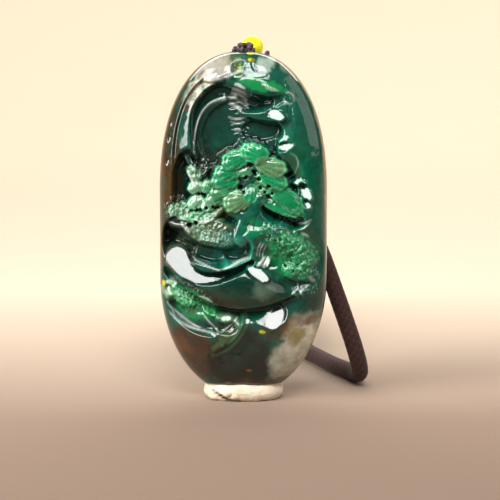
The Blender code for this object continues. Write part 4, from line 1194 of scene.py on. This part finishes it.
# Mottled tones; where "grit" is set, a fine noise frosts the surface pale and roughens it
def jadeMaterial():
    material, nodes, links, shader = newMaterial("jade", jadeFinish["polished"])
    veins = placeMottle(nodes, links, shader, Scale=700.0, Detail=5.0, Roughness=0.65,
                        Shade=(0.66, 0.62, 0.60, 1.0))
    grit = nodes.new("ShaderNodeAttribute")
    grit.attribute_name = "grit"
    chips = noiseNode(nodes, links, Scale=2300.0, Detail=4.0, Roughness=0.7)
    frosted = addNode(nodes, "ShaderNodeMapRange", From_Min=0.52, From_Max=0.66)
    dulled = addNode(nodes, "ShaderNodeMapRange", From_Min=0.2, To_Min=jadeFinish["polished"],
                     To_Max=jadeFinish["dulled"])
    share, rough = nodes.new("ShaderNodeMath"), nodes.new("ShaderNodeMath")
    share.operation = rough.operation = "MULTIPLY"
    mixed = mixNode(nodes, B=(*jadeFinish["frost"], 1.0))
    join(links, (chips, "Fac", frosted, "Value"), (frosted, "Result", share, 0), (chips, "Fac", rough, 0),
         (grit, "Fac", share, 1), (grit, "Fac", rough, 1), (grit, "Fac", dulled, "Value"),
         (dulled, "Result", shader, "Roughness"), (share, "Value", mixed, "Factor"),
         (veins, "Colour", mixed, "A"), (mixed, "Result", shader, "Base Color"))
    shader.inputs["IOR"].default_value = jadeFinish["ior"]
    shader.inputs["Subsurface Weight"].default_value = jadeFinish["depth"]
    shader.inputs["Subsurface Radius"].default_value = (0.4, 1.0, 0.6)
    shader.inputs["Subsurface Scale"].default_value = jadeFinish["depthReach"]
    wavy = noiseNode(nodes, links, Scale=420.0, Detail=2.0)
    waves = addNode(nodes, "ShaderNodeBump", Strength=0.12, Distance=0.12 * mm)
    chipped = bumpFrom(nodes, links, shader, rough, "Value", strength=0.7, distance=0.22 * mm)
    join(links, (wavy, "Fac", waves, "Height"), (waves, "Normal", chipped, "Normal"))
    return material


# Grid over the whole stone: rows up the outline and columns round the section
# (W cos^p, D sin^p), pushed in by the carving in front
def makeStone():
    rows, columns = stone["rows"], stone["columns"]
    shares, heights = heightTable()
    height = np.interp(np.arange(1, rows) / rows, shares, heights)
    shares, turns = sectionTable()
    turn = np.interp(np.arange(columns) / columns, shares, turns)
    height, turn = (grid.ravel() for grid in np.meshgrid(height, turn, indexing="ij"))
    halfWide, halfDeep = outlineAt(height)
    power = 2 / stone["sectionPower"]
    x = halfWide * rounded(np.cos(turn), power)
    y = halfDeep * rounded(np.sin(turn), power)
    across, up = x / stoneWide * sheetWide, height / stoneTall * sheetTall
    isFront = y < 0.0
    depth = np.where(isFront, faceDepth(across, up), 0.0)
    y = y + depth / sheetDeep * stoneDeep
    z = height + stoneLow[2]
    for mouth in threadMouths["places"]:
        near = 1.0 - np.hypot(x - mouth, y) / threadMouths["radius"]
        z = z - threadMouths["depth"] * (ease(1.6 * near) * (height > stoneTall / 2))
    grid = depth.reshape(rows - 1, columns)
    proud = (softened(grid, 4) - grid).ravel()
    colours = stoneColours(across, up, depth, proud, isFront)
    ends = [(0.0, 0.0, stoneLow[2]), (0.0, 0.0, stoneHigh[2])]
    points = np.concatenate([np.stack([x, y, z], axis=1), ends])
    colours = np.concatenate([colours, colours[:1], colours[-1:]])
    faces = tubeFaces(rows - 1, columns)
    piece = meshFrom("jade_pendant_carved", points, faces, colours)
    frost = piece.data.attributes.new("grit", "FLOAT", "POINT")
    frost.data.foreach_set("value", np.append(gritAt(across, up) * isFront, (0.0, 0.0)))
    piece.data.materials.append(jadeMaterial())
    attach(piece, "root")
    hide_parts("jade_pendant")
    print("stone", len(faces), "faces, deepest", round(depth.max(), 2))


makeStone()


def heightOfSurface(across, back):
    # Highest point of the stone above a place on the table
    heights = np.linspace(stoneTall / 2, stoneTall, 4000)
    halfWide, _ = outlineAt(heights)
    covered = (halfDeepAt(across, heights) >= abs(back)) & (halfWide > abs(across))
    return stoneLow[2] + heights[covered][-1]


# Bead with its bore, on the axis from the knot
beadLow, beadHigh = (np.array(corner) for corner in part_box("yellow_bead"))
bead = {"centre": (beadLow + beadHigh) / 2, "radius": (beadHigh - beadLow).max() / 2,
        "bore": 0.75 * mm, "lip": 0.30 * mm, "around": 64, "rows": 56}
thread = {"diameter": 0.9 * mm, "ply": 1.5 * mm, "plyRound": 0.26, "gap": 0.3 * mm, "dip": 2.6 * mm,
          "around": 14, "step": 0.14 * mm, "shaded": tone(24, 10, 14), "lit": tone(92, 62, 68)}
knot = {"width": 3.3 * mm, "deep": 2.4 * mm, "tall": 2.0 * mm,
        "centre": np.array([0.4 * mm, 0.6 * mm, heightOfSurface(0.4 * mm, 0.0) + 0.85 * mm])}
beadAxis = bead["centre"] - knot["centre"]
beadAxis = beadAxis / np.linalg.norm(beadAxis)


def beadMaterial():
    material, nodes, links, shader = newMaterial("yellow_glass", 0.09)
    swirl = noiseNode(nodes, links, Scale=500.0, Detail=2.0)
    shades = nodes.new("ShaderNodeValToRGB")
    shades.color_ramp.elements[0].color = (*tone(236, 214, 6), 1.0)
    shades.color_ramp.elements[1].color = (*tone(254, 250, 40), 1.0)
    join(links, (swirl, "Fac", shades, "Fac"), (shades, "Color", shader, "Base Color"))
    # Painted glow: a faint yellow emission brightens the bead
    shader.inputs["Emission Color"].default_value = (0.9, 0.8, 0.02, 1.0)
    shader.inputs["Emission Strength"].default_value = 0.10
    bumpFrom(nodes, links, shader, swirl, "Fac", strength=0.05, distance=0.1 * mm)
    return material


# Profile over the round outside, r = R sin(a), z = -R cos(a), then back down the bore, turned
# about the bead's axis
def makeBead():
    first = np.arcsin((bead["bore"] + bead["lip"]) / bead["radius"])
    arc = np.linspace(first, pi - first, bead["rows"])
    radii, rises = bead["radius"] * np.sin(arc), -bead["radius"] * np.cos(arc)
    lipTurn = np.linspace(0.0, pi / 2, 6)[1:]
    inner = bead["bore"] + bead["lip"] * (1.0 - np.sin(lipTurn))
    fall = rises[-1] - bead["lip"] * (1.0 - np.cos(lipTurn))
    radii = np.concatenate([radii, inner, inner[::-1]])[:, None, None]
    rises = np.concatenate([rises, fall, -fall[::-1]])[:, None, None]
    turn = fullTurn(bead["around"])[:, None]
    side = np.cross(beadAxis, (0.0, 0.0, 1.0))
    side = side / np.linalg.norm(side)
    spokes = np.cos(turn) * side + np.sin(turn) * np.cross(beadAxis, side)
    points = bead["centre"] + radii * spokes + rises * beadAxis
    faces = tubeFaces(len(radii), bead["around"], closed=True)
    piece = meshFrom("yellow_bead_turned", points.reshape(-1, 3), faces)
    piece.data.materials.append(beadMaterial())
    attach(piece, "root")
    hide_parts("yellow_bead")
    return piece


beadPiece = makeBead()

collarLow, collarHigh = (np.array(corner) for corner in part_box("cord_collar"))
collarMiddle = (collarLow + collarHigh) / 2


def plyWave(turns, runs):
    return np.abs(np.cos(turns - 2 * pi * runs / thread["ply"]))


def plyRadius(turns, runs):
    # Two plies twisted together: r = R (1 - c + c |cos(turn - ks)|)
    return thread["diameter"] / 2 * (1.0 - thread["plyRound"] + thread["plyRound"] * plyWave(turns, runs))


# Painted light and shade: each ply lit along its crest, shaded where the plies meet
def plyTones(turns, runs):
    return thread["shaded"] + (thread["lit"] - thread["shaded"]) * plyWave(turns, runs)[..., None] ** 3


# One strand goes from beside the knot through the stone's tunnel and back over the top to the
# binding, the other from the knot through the bead to the binding
def threadRoutes():
    radius, middle, gap = bead["radius"], bead["centre"], thread["gap"]
    left, right = threadMouths["places"]
    leftTop, rightTop = heightOfSurface(left, 0.0), heightOfSurface(right, 0.0)
    reach, dip = thread["diameter"], thread["dip"]
    beneath = [knot["centre"] + (side * mm, -0.4 * mm, -0.65 * mm) for side in (1.9, 0.4, -1.4)]
    tunnel = [(left + 0.2 * mm, 0.2 * mm, leftTop + reach * 0.7),
              (left + 0.3 * mm, 0.0, leftTop - dip * 0.55),
              ((left + right) / 2, 0.0, min(leftTop, rightTop) - dip),
              (right - 0.5 * mm, 0.0, rightTop - dip * 0.5),
              (right, 0.3 * mm, rightTop + reach * 0.3)]
    binding = np.array([collarMiddle[0], collarMiddle[1], collarHigh[2] + gap / 3])
    resting = lambda x, y: np.array([x, y, heightOfSurface(x, y) + reach / 5])
    around = [resting(right + 0.1 * mm, 1.4 * mm), resting(right - 0.3 * mm, 3.2 * mm),
              binding + (1.0 * mm, -1.6 * mm, 2.4 * mm), binding + (0.5 * mm, 0.0, 0.0)]
    through = [knot["centre"], middle - beadAxis * radius, middle, middle + beadAxis * (radius + 0.7 * mm),
               binding + (0.0, 0.0, 2.0 * mm), binding - (0.4 * mm, 0.0, 0.0)]
    return [*beneath, *tunnel, *around], through


def knotRoute():
    # Trefoil: x = sin t + 2 sin 2t, z = cos t - 2 cos 2t, y = -sin 3t, squeezed to the knot's size
    t = np.linspace(0.0, 2 * pi, 90)
    shape = np.stack([np.sin(t) + 2 * np.sin(2 * t), -np.sin(3 * t), np.cos(t) - 2 * np.cos(2 * t)], axis=1)
    room = np.array([knot["width"], knot["deep"], knot["tall"]]) - thread["diameter"]
    return knot["centre"] + shape / np.ptp(shape, axis=0) * room


def threadMaterial():
    material, nodes, links, shader = newMaterial("twisted_thread", 0.62)
    fibres = placeMottle(nodes, links, shader, Scale=5200.0, Detail=2.0, High=0.6, Shade=(0.7, 0.7, 0.7, 1.0))
    shader.inputs["Sheen Weight"].default_value = 0.2
    bumpFrom(nodes, links, shader, fibres, "Height", strength=0.3, distance=0.05 * mm)
    return material


def makeThread():
    material = threadMaterial()
    loop, through = threadRoutes()
    pieces = []
    for name, route in (("thread_loop", loop), ("thread_run", through), ("thread_knot", knotRoute())):
        path = smoothRoute(route, thread["step"])
        piece = sweep(name, path, plyRadius, thread["around"], plyTones)
        piece.data.materials.append(material)
        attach(piece, "root")
        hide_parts("bead_thread")
        pieces.append(piece)
    return pieces


threadPieces = makeThread()

windings = {"shaded": tone(26, 14, 14), "lit": tone(80, 56, 52), "around": 160, "rowsEach": 8,
            "collarPitch": 0.56 * mm, "collarRelief": 0.14 * mm, "tiePitch": 0.52 * mm,
            "tieRelief": 0.12 * mm, "tieRound": 1.9 * mm, "tieWall": 0.4 * mm}


# Wound thread: a rounded box outline swept along way, bulging by |sin|^0.6 once a pitch. A wall
# leaves it open, with an inner side; without one its ends are closed
def wound(name, middle, half, rounding, way, length, pitch, relief, nodes, wall=None):
    turns = fullTurn(windings["around"])
    straight = np.maximum(np.array(half) - rounding, 0.0)
    cos, sin = np.cos(turns), np.sin(turns)
    count = max(1, round(length / pitch))
    share = np.linspace(0.0, 1.0, count * windings["rowsEach"] + 1)
    bulge = relief * (np.abs(np.sin(pi * count * share)) ** 0.6 - 1.0)
    rows, around = len(share), len(turns)
    first, second, third = {"z": (0, 1, 2), "y": (2, 0, 1)}[way]
    points = np.zeros((rows, around, 3))
    points[..., first] = np.sign(cos) * straight[0] + rounding * cos + bulge[:, None] * cos
    points[..., second] = np.sign(sin) * straight[1] + rounding * sin + bulge[:, None] * sin
    points[..., third] = ((share - 0.5) * length)[:, None] + 0.1 * pitch * sin
    points = middle + points
    # Painted light and shade: each turn lit on its bulge, shaded between turns
    shade = windings["shaded"] + (windings["lit"] - windings["shaded"]) * (1.0 + bulge / relief)[:, None]
    colours = np.repeat(shade, around, axis=0)
    if wall is None:
        faces = tubeFaces(rows, around)
        added = [points[0].mean(axis=0), points[-1].mean(axis=0)]
        colours = np.concatenate([colours, colours[:2]])
    else:
        faces = tubeFaces(rows + 2, around, closed=True)
        inward = np.zeros((around, 3))
        inward[:, first], inward[:, second] = -wall * cos, -wall * sin
        added = np.concatenate([points[-1] + inward, points[0] + inward])
        colours = np.concatenate([colours, colours[:around], colours[:around]])
    piece = meshFrom(name, np.concatenate([points.reshape(-1, 3), added]), faces, colours)
    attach(piece, "root")
    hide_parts(*nodes)
    return piece


def makeBindings():
    material = threadPieces[0].data.materials[0]
    size = collarHigh - collarLow
    collar = wound("cord_collar_wound", collarMiddle, (size[0] / 2, size[1] / 2), size[1] / 2, "z",
                   size[2], windings["collarPitch"], windings["collarRelief"], ["cord_collar"])
    tieLow, tieHigh = (np.array(corner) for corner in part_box("hank_tie"))
    size = tieHigh - tieLow
    tie = wound("hank_tie_wound", (tieLow + tieHigh) / 2, (size[2] / 2, size[0] / 2), windings["tieRound"],
                "y", size[1], windings["tiePitch"], windings["tieRelief"], ["hank_tie"], windings["tieWall"])
    for piece in (collar, tie):
        piece.data.materials.append(material)
    return [collar, tie]


bindingPieces = makeBindings()
print("cord, bead and thread done")

# Putty ring, rolled by hand and pressed to the foot of the stone
ringLow, ringHigh = (np.array(corner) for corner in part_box("putty_ring"))
ring = {"stock": 3.5 * mm, "sink": 0.25 * mm, "around": 520, "section": 72, "square": 0.8,
        "clean": tone(216, 201, 180), "shadeTone": tone(104, 80, 58)}


def puttyMaterial():
    material, nodes, links, shader = newMaterial("putty", 0.62)
    placeMottle(nodes, links, shader, Scale=260.0, Detail=3.0, High=0.62, Shade=(0.80, 0.74, 0.66, 1.0))
    grain = noiseNode(nodes, links, Scale=900.0, Detail=5.0, Roughness=0.7)
    shader.inputs["Subsurface Weight"].default_value = 0.1
    shader.inputs["Subsurface Scale"].default_value = 0.5 * mm
    bumpFrom(nodes, links, shader, grain, "Fac", strength=0.35, distance=0.12 * mm)
    return material


# Seam, pinched ends and the lumps beside them: across, height, half width, half height, and depth,
# which is below 0 for a lump
dents = [
    (-4.7, 2.3, 0.6, 0.55, 0.32), (-4.1, 1.8, 0.7, 0.55, 0.42), (-3.5, 1.3, 0.7, 0.60, 0.55),
    (-2.9, 0.8, 0.8, 0.60, 0.70), (-2.1, 0.4, 1.2, 0.50, 0.85), (-0.9, 0.4, 0.9, 0.40, 0.45),
    (-5.6, 0.6, 0.5, 0.4, 0.20), (6.8, 1.9, 0.26, 1.5, 0.36), (7.2, 0.9, 0.35, 0.5, 0.25),
    (5.2, 2.9, 0.8, 0.25, 0.15), (1.6, 3.0, 2.4, 0.2, 0.10), (3.4, 0.3, 0.9, 0.2, 0.12),
    (-2.3, 1.9, 0.9, 0.8, -0.42), (-4.8, 0.9, 1.0, 0.7, -0.34), (-1.2, 1.3, 0.8, 0.7, -0.26),
]


def ringShape(path, turn):
    # Radius of the roll: R (1 + slow swells + finger marks), less the dents and lumps in front
    x, z = path[..., 0] / mm, (1.0 + np.sin(turn)) * ring["stock"] / 2 / mm
    angle = np.arctan2(path[..., 1], path[..., 0])
    swells = 0.05 * np.sin(3 * angle + 0.6) + 0.03 * np.sin(7 * angle)
    marks = 0.03 * softNoise(9.0 * angle + 30.0, 3.0 * turn + 30.0, 2.2, 31)
    marks = marks + 0.02 * softNoise(26.0 * angle + 90.0, 5.0 * turn + 30.0, 1.6, 32)
    radius = ring["stock"] / 2 * (1.0 + swells * (np.sin(turn) > 0.0) + marks)
    deep, lump = np.zeros(x.shape), np.zeros(x.shape)
    for across, up, half, tall, depth in dents:
        share = ease(1.3 * (1.0 - np.hypot((x - across) / half, (z - up) / tall)))
        deep, lump = np.maximum(deep, depth * share), np.minimum(lump, depth * share)
    inFront = (path[..., 1] < 0.0) & (np.cos(turn) > 0.0)
    return radius - (deep + lump) * mm * inFront, deep * inFront


# Roll along a rounded box: centre (a cos^p, b sin^p), radius from ringShape, flat underneath
def makeRing():
    angle, turn = np.meshgrid(fullTurn(ring["around"]), fullTurn(ring["section"]), indexing="ij")
    half = (ringHigh - ringLow) / 2 - ring["stock"] / 2
    path = np.stack([half[0] * rounded(np.cos(angle), ring["square"]),
                     half[1] * rounded(np.sin(angle), ring["square"]), np.zeros(angle.shape)], axis=-1)
    away = path / np.linalg.norm(path, axis=-1, keepdims=True)
    radius, deep = ringShape(path, turn)
    points = path + away * (radius * np.cos(turn))[..., None]
    points[..., 2] = np.maximum(radius * np.sin(turn) + ring["stock"] / 2 - ring["sink"], 0.0)
    points = points.reshape(-1, 3)
    # Where the roll meets the stone it lies against it
    height = np.maximum(points[:, 2] - stoneLow[2], 0.0)
    halfWide, _ = outlineAt(height)
    halfDeep = halfDeepAt(np.zeros(len(points)), height)
    power = stone["sectionPower"]
    level = ((np.abs(points[:, 0]) / np.maximum(halfWide, 1e-5)) ** power
             + (np.abs(points[:, 1]) / np.maximum(halfDeep, 1e-5)) ** power) ** (1 / power)
    pressed = level < 1.0
    points[pressed, :2] /= np.maximum(level[pressed, None], 0.05)
    # Painted shade: darker in the dents, with their depth, plus a mottle from noise
    dentShadeAndMottle = ease(1.8 * deep.ravel()) + 0.16 * layeredNoise(points[:, 0] / mm, points[:, 2] / mm, 1.4, 70)
    colours = mixTone(np.tile(ring["clean"], (len(points), 1)), ring["shadeTone"], dentShadeAndMottle)
    faces = np.array(tubeFaces(ring["around"], ring["section"], closed=True))[:, ::-1]
    piece = meshFrom("putty_ring_rolled", points, faces.tolist(), colours)
    piece.data.materials.append(puttyMaterial())
    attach(piece, "root")
    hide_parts("putty_ring")


makeRing()
print("ring done")

# Tone of the paper from in front of the pendant to behind it, over the reach of its ramp; its darker front is
# painted shade
paper = {"halfWide": 1.6, "near": -1.4, "behind": 0.45, "bend": 0.35, "wall": 1.2,
         "steps": 24, "rampFrom": -0.2, "rampTo": 0.3,
         "tones": [(-0.14, tone(42, 42, 38)), (-0.085, tone(118, 98, 82)), (-0.02, tone(130, 109, 93)),
                   (0.12, tone(206, 189, 168)), (0.3, tone(202, 186, 165))]}


def paperMaterial():
    material, nodes, links, shader = newMaterial("studio_paper", 0.9)
    place, parts = nodes.new("ShaderNodeTexCoord"), nodes.new("ShaderNodeSeparateXYZ")
    shades = nodes.new("ShaderNodeValToRGB")
    nearness = addNode(nodes, "ShaderNodeMapRange", From_Min=paper["rampFrom"], From_Max=paper["rampTo"])
    join(links, (place, "Object", parts, "Vector"), (parts, "Y", nearness, "Value"),
         (nearness, "Result", shades, "Fac"), (shades, "Color", shader, "Base Color"))
    stops = shades.color_ramp.elements
    while len(stops) < len(paper["tones"]):
        stops.new(1.0)
    for stop, (reach, shade) in zip(stops, paper["tones"]):
        stop.position = (reach - paper["rampFrom"]) / (paper["rampTo"] - paper["rampFrom"])
        stop.color = (*shade, 1.0)
    return material


# Pale sweep: flat, then a quarter circle up behind, then a wall. Painted shade darkens it outside the
# picture, where polished faces mirror it
def makeFloor():
    turn, radius = np.linspace(0.0, pi / 2, paper["steps"]), paper["bend"]
    y = np.concatenate([[paper["near"]], paper["behind"] + radius * np.sin(turn), [paper["behind"] + radius]])
    z = np.concatenate([[0.0], radius * (1.0 - np.cos(turn)), [radius + paper["wall"]]])
    side = np.array([-1.0, 1.0]) * paper["halfWide"]
    points = np.stack([np.tile(side, len(y)), np.repeat(y, 2), np.repeat(z, 2)], axis=1)
    floor = meshFrom("studio_floor", points, gridFaces(len(y), 2, wrap=False).tolist())
    floor.data.materials.append(paperMaterial())


makeFloor()
